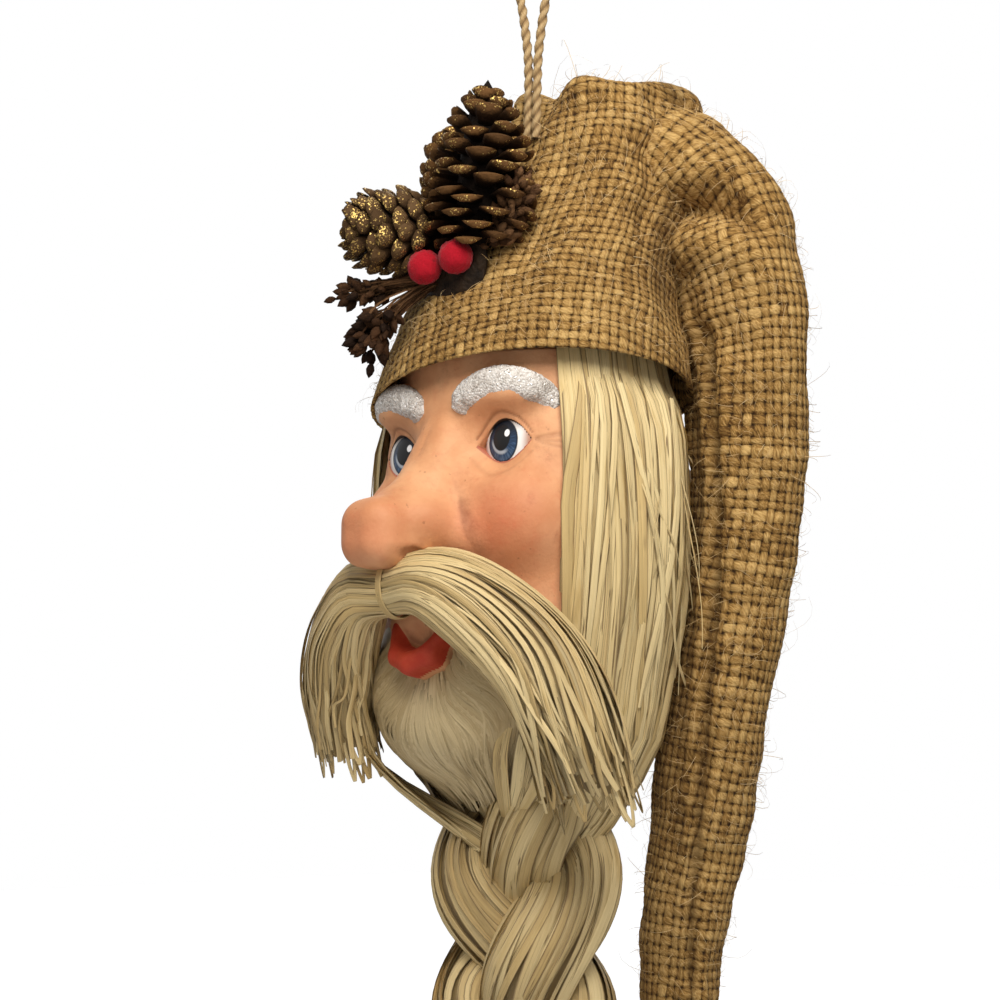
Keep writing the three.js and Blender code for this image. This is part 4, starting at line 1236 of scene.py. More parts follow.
    def build(self) -> None:
        """Makes the crown and the tail, each with its loose fibres."""
        cloth, loose = Burlap(), Raffia((0.2, 0.11, 0.035), (0.5, 0.32, 0.13), (0.72, 0.53, 0.27))
        crown, tail = self.crown_patch(), self.tail_patch()
        self.fuzz(crown.points.reshape(self.crown_rows, -1, 3), 1900, 51).object("crown_fuzz", loose, Body.HEAD)
        self.fuzz(tail.points.reshape(self.tail_rows, -1, 3), 2100, 52).object("tail_fuzz", loose, Body.TAIL)
        crown.object("cap_crown", cloth, Body.HEAD, "hat_crown", "crown_stuffing")
        tail.object("cap_tail", cloth, Body.TAIL, "hat_tail", "tail_stuffing")


@dataclass
class Hanger:
    """Twine loop: up from the front of the cap, round the nail and back down beside itself."""

    middle: tuple[float, float] = (12.0, -10.0)
    thickness: float = 3.2
    lay: float = 9.0  # length of one full twist of the two plies
    leg: tuple[Point, ...] = (
        (1.9, -1.2, 83), (1.9, -0.9, 91), (1.9, -0.6, 100), (2.3, -0.4, 111), (3.9, -0.2, 122), (6.2, 0, 133),
        (7.8, 0, 141), (7.2, 0, 148), (4.2, 0, 152.6),
    )
    bight: float = 154.0

    def path(self) -> Array:
        """Points of the loop, evenly spaced, in the head frame.

        Returns:
            The points, (n, 3).
        """
        x, y = self.middle
        up = [(x - dx, y + dy, z) for dx, dy, z in self.leg]
        down = [(x + dx, y + dy, z) for dx, dy, z in reversed(self.leg)]
        knots = np.array(up + [(x, y, self.bight)] + down)
        chord = arc_length(knots)
        fine = spline(chord, knots, np.linspace(0, chord[-1], 900))
        length = arc_length(fine)
        even = np.linspace(0, length[-1], 420)
        return np.stack([np.interp(even, length, fine[:, k]) for k in range(3)], -1)

    def build(self) -> None:
        """Two plies laid round each other: the reach swings between them as the section turns along the path."""
        at = self.path()
        frames = Frames.of(at, (0, -1, 0))
        length = arc_length(at)
        angle = np.linspace(0, math.tau, 16, endpoint=False)
        a, d = np.meshgrid(angle, length)
        ply = np.abs(np.cos(a - math.tau * d / self.lay))
        reach = self.thickness / 2 * (0.66 + 0.34 * ply) + 0.06 * np.sin(9 * a + 2.4 * d)
        points = (
            at[:, None] + reach[..., None]
            * (frames.side[:, None] * np.cos(a)[..., None] + frames.depth[:, None] * np.sin(a)[..., None])
        )
        around = np.linspace(0, math.tau, 17) * self.thickness / 2
        uv = np.stack(np.broadcast_arrays(around[None], length[:, None]), -1)
        body = Patch.grid(points, uv, ring=True, ply=ply)
        piece = body.object("twine_loop", Jute(), Body.HEAD, "hanger_loop")


@dataclass(frozen=True)
class Raffia(Finish):
    """Dried palm strip. UVs are millimetres across and along; each strip has its own tone."""

    slot: ClassVar[str] = "raffia"
    dark: Colour = (0.15, 0.085, 0.028)
    straw: Colour = (0.53, 0.37, 0.15)
    pale: Colour = (0.8, 0.64, 0.34)
    line: float = 0.85  # strength of the dark edges and creases, which are painted shade

    def dress(self, paint: Paint) -> Material:
        """Long fibres side by side, thin creases and dark edges painted as shade, a few brown stains, and a slight
        sheen.

        Args:
            paint: The node tree to fill.

        Returns:
            The material.
        """
        u, v = paint.uv()
        tone = paint.value("tone")
        fibre = paint.noise(paint.vector(u * 1.6, v * 0.014, tone * 61.0), 1.0, 2.0, 0.6)
        thread = paint.noise(paint.vector(u * 8.0, v * 0.03, tone * 37.0), 1.0, 2.0)
        fold = paint.noise(paint.vector(u * 0.75, v * 0.011, tone * 17.0), 1.0, 1.0) - 0.5
        crease = (
            fold.distance().ease(0.014, 0.004) * paint.noise(paint.vector(u, v * 0.05, tone), 1.0).ease(0.38, 0.58)
        )
        stain = paint.noise(paint.vector(u * 0.22, v * 0.04, tone * 23.0), 1.0, 3.0)
        shade = tone * 0.5 + (fibre - 0.5) * 0.3 + (thread - 0.5) * 0.26 + 0.34 - stain.ease(0.58, 0.8) * 0.34
        colour = paint.ramp(shade, (0.0, self.dark), (0.5, self.straw), (0.95, self.pale))
        # painted shade: dark lines along the strip edges and in the creases
        line = paint.value("edge").ease(0.8, 0.98).most(crease) * self.line
        colour = paint.mix(line, colour, self.dark)
        # darkening by the piece's deep value: painted shade on the bases and on strips deep in a bundle; in the chin
        # tuft it also darkens the strips near the lip
        colour = paint.mix(paint.value("deep"), colour, (0.045, 0.025, 0.009))
        height = fibre * 0.5 + thread * 0.55 - crease * 0.8
        return paint.finish(height, 0.5, Base_Color=colour, Roughness=0.48 + thread * 0.15)


@dataclass(frozen=True)
class CombedHusk(Raffia):
    """Finer, paler fibre combed out flat, darker where it leaves the lip."""

    slot: ClassVar[str] = "husk"
    dark: Colour = (0.22, 0.14, 0.055)
    straw: Colour = (0.44, 0.315, 0.145)
    pale: Colour = (0.72, 0.575, 0.325)
    line: float = 0.3


@dataclass
class Strips:
    """Many strips laid at once, each along its own path."""

    at: Array
    out: Array
    width: Array
    tone: Array
    roll: Array | float = 0.0
    cup: float = 0.22
    deep: Array | float = 0.0

    def patch(self) -> Patch:
        """Strips three points wide, with the middle lifted a little.

        Each row is the path's point, plus across times half the width along the side direction, plus the cup of
        that width along the outward direction where across is 0. Side and outward turn about the path by the roll.

        Returns:
            All the strips as one patch, with UVs in millimetres.
        """
        count, rows = self.at.shape[:2]
        along = unit(np.gradient(self.at, axis=1))
        depth = unit(self.out - along * np.sum(self.out * along, -1, keepdims=True))
        side = np.cross(depth, along)
        roll = np.broadcast_to(self.roll, (count, rows))[..., None]
        side, depth = np.cos(roll) * side + np.sin(roll) * depth, np.cos(roll) * depth - np.sin(roll) * side
        across = np.array([-1.0, 0.0, 1.0])
        width = np.broadcast_to(self.width, (count, rows))[..., None, None]
        points = self.at[:, :, None] + 0.5 * width * across[:, None] * side[:, :, None]
        points = points + self.cup * width * (1 - np.abs(across))[:, None] * depth[:, :, None]
        step = np.linalg.norm(np.diff(self.at, axis=1), axis=-1)
        length = np.concatenate([np.zeros((count, 1)), np.cumsum(step, axis=1)], axis=1)
        u = 0.5 * width[..., 0] * across + self.tone[:, None, None] * 40.0
        uv = np.stack([u, np.broadcast_to(length[..., None], u.shape)], -1)
        deep = np.broadcast_to(self.deep, (count, rows))[..., None]
        return Patch.copies(points, uv, tone=self.tone[:, None, None], deep=deep, edge=np.abs(across))

    @staticmethod
    def core(points: Array, tone: float, deep: float) -> Patch:
        """A shaded base under the strips, from a grid of points, with UVs in the strips' own units.

        Args:
            points: Points, (rows, columns, 3).
            tone: Its tone.
            deep: How dark it is.

        Returns:
            The base.
        """
        rows, columns = points.shape[:2]
        v, u = np.meshgrid(np.arange(rows) * 4.0, np.arange(columns) * 1.5, indexing="ij")
        flat = np.full((rows, columns), 1.0)
        return Patch.grid(points, np.stack([u, v], -1), tone=tone * flat, deep=deep * flat, edge=0 * flat)


def off_chin(angle: Array, z: Array, lift: Array) -> Array:
    """Points that stand off the chin's oval.

    Args:
        angle: Radians from the middle of the face.
        z: Heights in the head frame.
        lift: How far they stand off.

    Returns:
        Points in the head frame.
    """
    scale = spline([-140, -126, -104, -62], [0.3, 0.66, 0.9, 1.0], z)
    wide, deep = CHIN_WIDE * scale + lift, CHIN_DEEP * scale + lift
    return np.stack([wide * np.sin(angle), -deep * np.cos(angle), z], -1)


def taper(t: Array, tip: float = 0.3) -> Array:
    """Width along a strip: full in the middle, less at its ends."""
    return 1 - (1 - tip) * ease(t, 0.82, 1.0) - 0.2 * ease(t, 0.12, 0.0)


@dataclass
class Hair:
    """Two raffia curtains from under the cap to the top of the plait."""

    first: float = 55.0
    last: float = 158.0
    top: float = 9.0
    bottom: float = -133.0
    count: int = 40
    wisps: int = 44

    @staticmethod
    def point(degrees: Array, z: Array, out: Array) -> Array:
        """A point of the left curtain: an oval whose size follows the height, grown by out.

        Args:
            degrees: Angle from the middle of the face.
            z: Height.
            out: How far outside the oval.

        Returns:
            Points in the head frame.
        """
        scale = spline(
            [-150, -133, -118, -98, -70, -44, -8, 10], [0.2, 0.6, 0.75, 0.83, 0.935, 0.965, 0.925, 0.87], z
        )
        angle = np.radians(degrees)
        reach = np.where(np.cos(angle) > 0, 50.0, 44.0) * scale
        return np.stack([(56.5 * scale + out) * np.sin(angle), -(reach + out) * np.cos(angle), z + 0 * scale], -1)

    def strips(
        self, seed: int, count: int, width: tuple[float, float], out: tuple[float, float], stray: float,
    ) -> Patch:
        """Strips that hang down the curtain, each a little off straight.

        Args:
            seed: Which random set to use.
            count: How many.
            width: Smallest and largest width.
            out: Smallest and largest height over the curtain.
            stray: How far each may wander sideways, in degrees.

        Returns:
            The strips.
        """
        rng = np.random.default_rng(seed)
        t = np.linspace(0, 1, 20)
        start = np.linspace(self.first, self.last, count) + rng.uniform(-1.5, 1.5, count)
        if stray > 8:
            start = rng.uniform(self.first + 6, self.last - 6, count)
        lean = rng.normal(0, stray, count)[:, None]
        bow = rng.normal(0, stray * 0.35, count)[:, None]
        sway = rng.uniform(0, 6.28, count)[:, None]
        degrees = start[:, None] + lean * t + bow * np.sin(math.pi * t) + 0.9 * np.sin(t * 9 + sway)
        degrees = np.maximum(degrees, self.first - 2.5 * (1 - t))
        z = self.top + (self.bottom - self.top) * np.minimum(t / 0.86, 1.0) + 0 * lean
        lift = rng.uniform(*out, count)[:, None] + 0.5 * np.sin(t * 7 + sway * 2)
        lift = lift - (lift + 2.2) * ease(z, -14, 2)
        at = self.point(degrees, z, lift)
        turn = np.radians(degrees) * 1.2 - 0.5
        loose = 1.05 + 0.4 * np.sin(sway * 3 + 0 * t)
        gather = np.stack(
            [2 + 11 * loose * np.sin(turn), -5 - 9 * loose * np.cos(turn), -149 + 7 * np.sin(sway + 0 * t)], -1
        )
        share = ease(t, 0.7, 1.0)[:, None] ** 1.25
        at = at * (1 - share) + gather * share
        away = at * np.array([1.0, 1.15, 0.0])
        size = rng.uniform(*width, count)[:, None] * taper(t, 0.5)
        roll = rng.normal(0, 0.2, count)[:, None] + 0.16 * np.sin(t * 5 + sway)
        return Strips(at, away, size, rng.beta(2.4, 1.2, count), roll, 0.1).patch()

    @staticmethod
    def jaw(seed: int, stand: float) -> Patch:
        """Strips from the cheek round the chin to the top of the plait, standing off the chin's own oval.

        Args:
            seed: Which random set to use.
            stand: How far they stand off.

        Returns:
            The strips.
        """
        rng = np.random.default_rng(seed)
        n, t = 24, np.linspace(0, 1, 22)
        start = np.linspace(46, 58, n)[:, None] + rng.normal(0, 1.5, (n, 1))
        stop = np.linspace(32, 62, n)[:, None] + rng.normal(0, 3.0, (n, 1))
        angle = np.radians(start + (stop - start) * ease(t, 0.05, 0.8))
        z = -74 - 52 * np.minimum(t / 0.78, 1.0) + 0 * angle
        lift = spline([0, 0.4, 0.7, 1], [-6.0, stand, stand + 3, stand], t) + rng.uniform(-0.6, 1.4, (n, 1))
        at = off_chin(angle, z, lift)
        spin = np.linspace(0, 3.0, n)[:, None] + 0 * t
        gather = np.stack([9 * np.cos(spin) - 2, -16 - 5 * np.sin(spin), -148 + 0 * spin], -1)
        share = ease(t, 0.66, 1.0)[:, None] ** 1.2
        at = at * (1 - share) + gather * share
        width = rng.uniform(1.6, 5.0, n)[:, None] * taper(t, 0.6)
        return Strips(
            at, at * np.array([1.0, 1.15, 0.0]), width, rng.beta(2.0, 1.5, n), rng.normal(0, 0.25, n)[:, None], 0.12
        ).patch()

    def flyaways(self, seed: int) -> Patch:
        """A few thin strands that spring away from the curtain and hook at their ends.

        Args:
            seed: Which random set to use.

        Returns:
            The strands.
        """
        rng = np.random.default_rng(seed)
        count, t = 15, np.linspace(0, 1, 22)
        start = rng.uniform(78, 140, count)[:, None]
        z = rng.uniform(-70, -15, count)[:, None] - t * rng.uniform(18, 60, count)[:, None]
        degrees = start + rng.uniform(-20, 34, count)[:, None] * t
        lift = 2.0 + rng.uniform(4, 19, count)[:, None] * t**1.6 * np.cos(t * rng.uniform(0.4, 2.2, count)[:, None])
        at = self.point(degrees, z, lift)
        return Strips(
            at, at * np.array([1.0, 1.0, 0.0]), 0.95 * (1 - 0.5 * t), rng.uniform(0.6, 1, count), 0.0
        ).patch()

    def loose(self) -> Patch:
        """Long strips that have slipped out of place, each through four places on the curtain, curling off it.

        Returns:
            The strips.
        """
        t, keys = np.linspace(0, 1, 30), np.linspace(0, 1, 4)
        turns = ((84, 96, 112, 150), (126, 140, 142, 124), (74, 82, 92, 98), (112, 118, 134, 158), (104, 100, 92, 88))
        falls = (
            (-30, -58, -88, -112), (-20, -30, -46, -56), (-4, -38, -70, -104), (-44, -62, -84, -92),
            (-6, -40, -74, -104),
        )
        lifts = ((2.6, 3, 4, 17), (2, 9, 11, 3), (2.4, 3.2, 3.2, 2.4), (2, 3, 8, 12), (2.4, 3, 3, 2.6))
        degrees, z, lift = (np.array([spline(keys, row, t) for row in rows]) for rows in (turns, falls, lifts))
        at = self.point(degrees, z, lift)
        width = np.array([1.7, 0.8, 2.6, 1.0, 3.4])[:, None] * taper(t, 0.4)
        return Strips(at, at * np.array([1.0, 1.0, 0.0]), width, np.array([0.9, 0.8, 0.95, 0.8, 0.9]), 0.1).patch()

    def build(self) -> None:
        """Makes both curtains from one recipe with different random sets."""
        degrees, z = np.meshgrid(np.linspace(self.first, self.last, 40), np.linspace(self.top, -147.0, 38))
        sunlit = Raffia(straw=(0.6, 0.43, 0.18), pale=(0.86, 0.7, 0.38))
        for name, side, seed, stand in (("left", 1.0, 5, 6.0), ("right", -1.0, 6, 11.0)):
            base = Strips.core(self.point(degrees, z, np.full(z.shape, -2.4)), 0.4, 0.3)
            under = self.strips(seed * 10 + 3, self.count, (4.0, 8.0), (-1.8, -1.2), 2.0)
            broad = self.strips(seed * 10, 34, (3.6, 9.5), (-0.6, 1.3), 4.0)
            fine = self.strips(seed * 10 + 1, self.wisps, (0.8, 2.6), (1.3, 2.6), 11.0)
            cross = self.strips(seed * 10 + 4, 13, (2.2, 5.5), (1.6, 2.8), 17.0)
            strays = [self.jaw(seed * 10 + 5, stand), self.flyaways(seed * 10 + 2), self.loose()]
            patch = Patch.joined([base, under, broad, fine, cross, *strays])
            patch.on_side(side).object(f"raffia_hair_{name}", sunlit, Body.HEAD, f"side_hair_{name}")


@dataclass
class Moustache:
    """Two hanks of thin raffia that part under the nose, bound in the middle by a wrap."""

    radius: float = 14.5
    flat: float = 0.82
    count: int = 190

    @staticmethod
    def path(side: float, t: Array) -> Array:
        """The middle of a hank from the wrap to its end. The two hang differently.

        Args:
            side: 1 for the figure's left and -1 for its right.
            t: Shares of the hank's length.

        Returns:
            Points of a left hank, to be mirrored.
        """
        left = [
            (0, -58.8, -66.7), (12, -59, -66.3), (27, -54, -72.8), (44.5, -43.5, -91), (51.3, -35, -111.5),
            (52, -28, -130),
        ]
        right = [
            (0, -58.8, -67), (12, -59.5, -67), (27, -55, -77), (37.5, -49.5, -90), (43, -44.3, -102.5),
            (45, -39, -116),
        ]
        return spline([0, 0.12, 0.32, 0.56, 0.79, 1.0], left if side > 0 else right, t)

    def hank(self, side: float, seed: int) -> Patch:
        """Strips spread over the hank's oval section, tight at the wrap and splayed at the end.

        Args:
            side: 1 for the figure's left and -1 for its right.
            seed: Which random set to use.

        Returns:
            The hank, on the left.
        """
        rng = np.random.default_rng(seed)
        n = self.count
        t = np.linspace(0, 1, 26)
        frames = Frames.of(self.path(side, t), (0.45, -0.85, 0.3))
        size = self.radius * spline([0, 0.06, 0.25, 0.7, 1], [0.62, 0.66, 0.88, 1.02, 1.0 if side > 0 else 0.9], t)
        spin = np.arange(n) * GOLDEN_ANGLE
        ring = np.sqrt(rng.uniform(0.7, 1.02, n))
        twist = spin[:, None] + 0.5 * rng.normal(size=(n, 1)) * t + 0.1 * np.sin(t * 8 + spin[:, None])
        swell = ring[:, None] * (1 + 0.13 * rng.normal(size=(n, 1)) * t**3)
        away = frames.around(twist, self.flat)
        at = frames.at + away * (swell * size)[..., None]
        reach = rng.uniform(-14, 2, n)[:, None] * ease(t, 0.5, 1.0)
        at = at + frames.along * reach[..., None]
        curl = np.maximum(rng.normal(-0.5, 0.7, n), 0)[:, None] * 6.0 * ease(t, 0.8, 1.0) ** 2
        at = at - away * curl[..., None]
        width = rng.uniform(0.9, 2.5, n)[:, None] * taper(t, 0.8)
        roll = rng.normal(0, 0.45, n)[:, None] + 0.25 * np.sin(t * 6 + spin[:, None])
        # painted shade on strips that lie deep in the hank
        deep = 0.55 * ease(ring, 0.96, 0.84)[:, None] + 0 * t
        # the right hank draws darker tones: painted shade on the side away from the light
        tone = rng.beta(2.4, 1.3, n) if side > 0 else rng.beta(1.6, 1.8, n)
        strips = Strips(at, away, width, tone, roll, 0.22, deep).patch()
        turn = np.linspace(0, math.tau, 29)
        tube = frames.tube(turn, self.flat)
        inner = frames.at[:, None] + tube * (0.86 * size * (1 - 0.97 * ease(t, 0.86, 1.0)))[:, None, None]
        return Patch.joined([Strips.core(inner, 0.3, 0.6), strips, self.loops(frames, size, seed + 8)])

    def loops(self, frames: Frames, size: Array, seed: int) -> Patch:
        """Strips doubled back at the end of a hank.

        Each is a hairpin: it runs out along the hank with the sine of half a turn, and from one side of its place
        on the section to the other with the cosine.

        Args:
            frames: The hank's path.
            size: Its half width along the path.
            seed: Which random set to use.

        Returns:
            The hairpins.
        """
        rng = np.random.default_rng(seed)
        n, t = 30, np.linspace(0, 1, 24)
        spin = rng.uniform(0, math.tau, n)[:, None]
        half = rng.uniform(0.06, 0.2, n)[:, None] * np.cos(math.pi * t) * ease(np.abs(t - 0.5), -0.1, 0.32)
        tip = frames.at[-1] - frames.along[-1] * 20.0
        along = rng.uniform(18, 31, n)[:, None] * np.sin(math.pi * t) ** 0.6
        away = (
            frames.side[-1] * np.cos(spin + half)[..., None]
            + frames.depth[-1] * (self.flat * np.sin(spin + half))[..., None]
        )
        reach = size[-1] * rng.uniform(0.75, 1.05, n)[:, None] * (0.9 + 0.1 * np.sin(math.pi * t))
        at = tip + frames.along[-1] * along[..., None] + away * reach[..., None]
        return Strips(at, away, rng.uniform(0.9, 1.8, n)[:, None] + 0 * t, rng.beta(2.2, 1.5, n), 0.0, 0.24).patch()

    def wrap(self) -> Patch:
        """Three cord turns round the middle, each an oval in the upright plane, one beside the other.

        Returns:
            The wrap.
        """
        turn = np.linspace(0, 6 * math.pi, 110)[None]
        x = np.linspace(-1.5, 1.3, 110)[None] + 0.2 * np.sin(turn * 0.7)
        away = np.stack([0 * turn, np.cos(turn) * self.flat, np.sin(turn)], -1)
        at = np.array([0.0, -58.8, -66.9]) + away * 9.75
        at[..., 0] = x
        return Strips(at, away, np.full((1, 110), 1.25), np.array([0.36]), 0.0, 0.42).patch()

    def build(self) -> None:
        """Makes the hanks and the wrap. The right path is the left one mirrored, with its own hang."""
        for name, side, seed in (("left", 1.0, 71), ("right", -1.0, 72)):
            patch = self.hank(side, seed).on_side(side)
            patch.object(f"raffia_moustache_{name}", Raffia(), Body.HEAD, f"moustache_{name}")
        self.wrap().object("raffia_moustache_wrap", Raffia(), Body.HEAD, "moustache_tie")


@dataclass
class ChinTuft:
    """Pale fibre combed out from under the lip, over a soft pad on the chin."""

    spread: float = 52.0
    top: float = -92.5
    bottom: float = -127.0
    count: int = 430

    def point(self, across: Array, down: Array, lift: Array) -> Array:
        """A point of the tuft.

        Across runs from -1 to 1 and down from 0 at the lip to 1 at the hem. The angle is across times the spread,
        narrower at the top, the upper edge rises beside the mouth, and the reach is the chin's oval plus a pillow
        that is deepest below the middle.

        Args:
            across: Place from side to side.
            down: Place from lip to hem.
            lift: Height over the pillow.

        Returns:
            Points in the head frame.
        """
        angle = np.radians(self.spread * across * spline([0, 0.5, 1], [0.62, 1.0, 0.82], down))
        top = self.top + 15.0 * ease(np.abs(across), 0.2, 0.62)
        z = top + (self.bottom - top) * down - 7.0 * (1 - across**2) * down * (1 - down)
        pillow = (
            10.0 * np.sqrt(np.maximum(np.sin(math.pi * np.clip(0.08 + 0.86 * down, 0, 1)), 0)) * (1 - 0.5 * across**2)
        )
        reach = pillow * spline([0, 0.5, 0.8, 1], [0.35, 1.0, 0.95, 0.5], down) + lift
        return off_chin(angle, z, reach)

    def build(self) -> None:
        """Makes the pad and the fibres, which fan out from the lip."""
        rng = np.random.default_rng(41)
        across, down = np.meshgrid(np.linspace(-1, 1, 44), np.linspace(0, 1.22, 30))
        pad = Strips.core(self.point(across, down, np.full(down.shape, -0.25)), 0.68, 0.0)
        t = np.linspace(0, 1, 15)
        n = self.count
        lane = np.linspace(-0.98, 0.98, n) + rng.normal(0, 0.015, n)
        start = rng.uniform(0.0, 0.22, n)[:, None]
        stop = rng.uniform(0.82, 1.2, n)[:, None]
        drop = start + (stop - start) * t
        fan = lane[:, None] * (0.55 + 0.45 * ease(t, 0, 0.7)) + 0.015 * np.sin(t * 4 + lane[:, None] * 40)
        lift = rng.uniform(0.0, 0.3, n)[:, None] + rng.uniform(-1.2, 0.5, n)[:, None] * ease(t, 0.75, 1.0)
        at = self.point(np.clip(fan, -1.05, 1.05), drop, lift)
        at[..., 2] = at[..., 2] - 20.0 * np.maximum(drop - 1.0, 0)
        width = rng.gamma(4.0, 0.32, n)[:, None] * taper(t, 0.25)
        # darkens the strips near the lip through their deep value
        root = 0.7 * ease(t, 0.16, 0.0) * rng.uniform(0.0, 1, n)[:, None] ** 2 * ease(np.abs(lane), 0.5, 0.2)[:, None]
        away = at * np.array([1.0, 1.2, 0.0])
        # paler strips down the middle: painted highlight of the fibre's satin sheen
        tone = 0.8 * rng.beta(7.0, 3.4, n) + 0.34 * hump(lane - 0.08, 0.36)
        fibres = Strips(at, away, width, tone, rng.normal(0, 0.08, n)[:, None], 0.06, root).patch()
        Patch.joined([pad, fibres]).object("combed_chin_tuft", CombedHusk(), Body.HEAD, "chin_tuft")


@dataclass
class Beard:
    """Plait of three raffia hanks, a wrap round its end, and the loose tassel below."""

    top: float = -134.0
    length: float = 128.0
    sway: float = 17.0
    weave: float = 8.5
    radius: float = 14.5
    count: int = 52
    centre: tuple[float, float] = (2.0, -5.0)
    period: float = 132.0  # drop in which a hank comes back to its side
    flat: float = 0.92
    tassel_top: float = -258.0
    tassel_flat: float = 0.85

    def strand(self, k: int) -> Patch:
        """One hank: its middle swings side to side once a period and front to back twice, shrinking as it falls.

        The strips lie round the middle in an oval section and turn slowly, over a shaded base.

        Args:
            k: Which of the three.

        Returns:
            The hank.
        """
        rng = np.random.default_rng(300 + k)
        t = np.linspace(-0.05, 1.0, 64)
        phase = math.tau * (t * self.length / self.period + k / 3)
        size = 1 - 0.48 * ease(t, 0.45, 1.0)
        x = self.centre[0] + self.sway * size * np.sin(phase)
        y = self.centre[1] + self.weave * size * np.sin(2 * phase)
        middle = np.stack([x, y, self.top - self.length * t], -1)
        frames = Frames.of(middle, (0.0, -1.0, 0.0))
        bulk = self.radius * size * (1 - 0.25 * ease(t, 0.03, -0.05))
        n = self.count
        spin = np.arange(n) * GOLDEN_ANGLE + 0.3 * rng.normal(size=n)
        ring = np.sqrt(rng.uniform(0.72, 1.03, n))
        twist = spin[:, None] + 0.25 * rng.normal(size=(n, 1)) * t * 4 + 0.1 * np.sin(t * 14 + spin[:, None])
        away = frames.around(twist, self.flat)
        at = frames.at + away * (ring[:, None] * bulk)[..., None]
        width = rng.uniform(2.4, 6.6, n)[:, None] * (0.55 + 0.45 * size)
        roll = rng.normal(0, 0.3, n)[:, None] + 0.2 * np.sin(t * 11 + spin[:, None])
        strips = Strips(at, away, width + 0 * t, rng.beta(2.2, 1.3, n), roll, 0.18).patch()
        turn = np.linspace(0, math.tau, 25)
        tube = frames.tube(turn, self.flat)
        return Patch.joined(
            [Strips.core(frames.at[:, None] + tube * (0.87 * bulk)[:, None, None], 0.3, 0.55), strips]
        )

    def wrap(self) -> Patch:
        """Six flat turns round the neck of the plait, each over part of the one before.

        Returns:
            The wrap.
        """
        turn = np.linspace(0, 12 * math.pi, 170)[None]
        down = np.linspace(-252.2, -262.6, 170)[None] + 0.3 * np.sin(turn * 0.83)
        away = np.stack([np.cos(turn) * 18.4, np.sin(turn) * 13.4, 0 * turn], -1)
        at = away + np.array([*self.centre, 0.0])
        at[..., 2] = down
        return Strips(
            at, away * np.array([1.0, 1.8, 0.0]), np.full((1, 170), 3.6), np.array([0.5]), 0.08, 0.16
        ).patch()

    def tassel(self) -> Patch:
        """Loose ends below the wrap: strips down the surface of a bell, over a shaded base.

        Returns:
            The tassel.
        """
        rng = np.random.default_rng(350)
        n, t = 170, np.linspace(0, 1, 15)
        spin = np.arange(n) * GOLDEN_ANGLE
        bell = 19.0 * spline([0, 0.12, 0.35, 0.8, 1], [0.78, 0.82, 0.93, 1.0, 0.92], t)
        ring = np.sqrt(rng.uniform(0.5, 1.03, n))[:, None] * (1 + 0.06 * rng.normal(size=(n, 1)) * t**2)
        twist = spin[:, None] + 0.22 * rng.normal(size=(n, 1)) * t
        away = np.stack([np.cos(twist), self.tassel_flat * np.sin(twist), 0 * twist], -1)
        at = away * (ring * bell)[..., None]
        at[..., 2] = self.tassel_top - rng.uniform(52, 66, n)[:, None] * t
        at = at + np.array([*self.centre, 0.0])
        width = rng.uniform(1.8, 4.4, n)[:, None] * taper(t, 0.4)
        strips = Strips(at, away, width, rng.beta(2.2, 2.2, n), rng.normal(0, 0.3, n)[:, None], 0.24).patch()
        turn = np.linspace(0, math.tau, 29)
        tube = (
            np.stack([np.cos(turn), self.tassel_flat * np.sin(turn), 0 * turn], -1)[None]
            * (0.82 * bell)[:, None, None]
        )
        tube = tube * (1 - 0.97 * ease(t, 0.8, 1.0))[:, None, None]
        base = tube + np.array([*self.centre, 0.0])
        base[..., 2] = (self.tassel_top - 50.0 * t)[:, None]
        return Patch.joined([Strips.core(base, 0.3, 0.55), strips])

    def build(self) -> None:
        """Makes the hanks, the wrap and the tassel."""
        for k, name in enumerate(("left", "centre", "right")):
            self.strand(k).object(f"raffia_plait_{name}", Raffia(), Body.BRAID, f"braid_strand_{name}")
        self.wrap().object("raffia_plait_wrap", Raffia(), Body.BRAID, "beard_tie")
        self.tassel().object("raffia_tassel", Raffia(), Body.BRAID, "beard_tassel")


@dataclass(frozen=True)
class ConeWood(Finish):
    """Pine cone: near-black between the scales as painted shade, tan at the lips, with gold glitter brushed over."""

    slot: ClassVar[str] = "cone"
    inner: Colour = (0.006, 0.003, 0.0015)
    wood: Colour = (0.03, 0.014, 0.006)
    lip: Colour = (0.155, 0.074, 0.025)
    gold: float = 0.34

    def dress(self, paint: Paint) -> Material:
        """Colour from the place along each scale, with grains of glitter on the lips.

        Args:
            paint: The node tree to fill.

        Returns:
            The material.
        """
        place = paint.place()
        along = paint.value("along")
        tone = paint.value("tone")
        streak = paint.noise(place, 900.0, 3.0, 0.6)
        cloud = paint.noise(place, 130.0, 2.0)
        # painted shade: near-black deep between the scales, up to the wood colour further out
        colour = paint.mix(along.ease(0.35, 0.8), self.inner, self.wood)
        edge = (along + (streak - 0.5) * 0.3).ease(0.8, 0.98)
        colour = paint.mix(edge * (0.35 + tone * 0.65), colour, self.lip)
        cells = paint.node("ShaderNodeTexVoronoi", {}, {"Vector": place, "Scale": 2300.0}, "Color")
        grain = paint.part(cells, "X") + cloud * 0.9 + along.ease(0.75, 0.95) * 0.35
        flake = grain.over(1.88 - self.gold * 0.5)
        colour = paint.mix(flake, colour, (0.52, 0.35, 0.11))
        rough = 0.75 - flake * 0.45
        return paint.finish(
            streak, 0.6, Base_Color=colour, Roughness=rough, Metallic=flake * 0.85, Specular_IOR_Level=0.08
        )


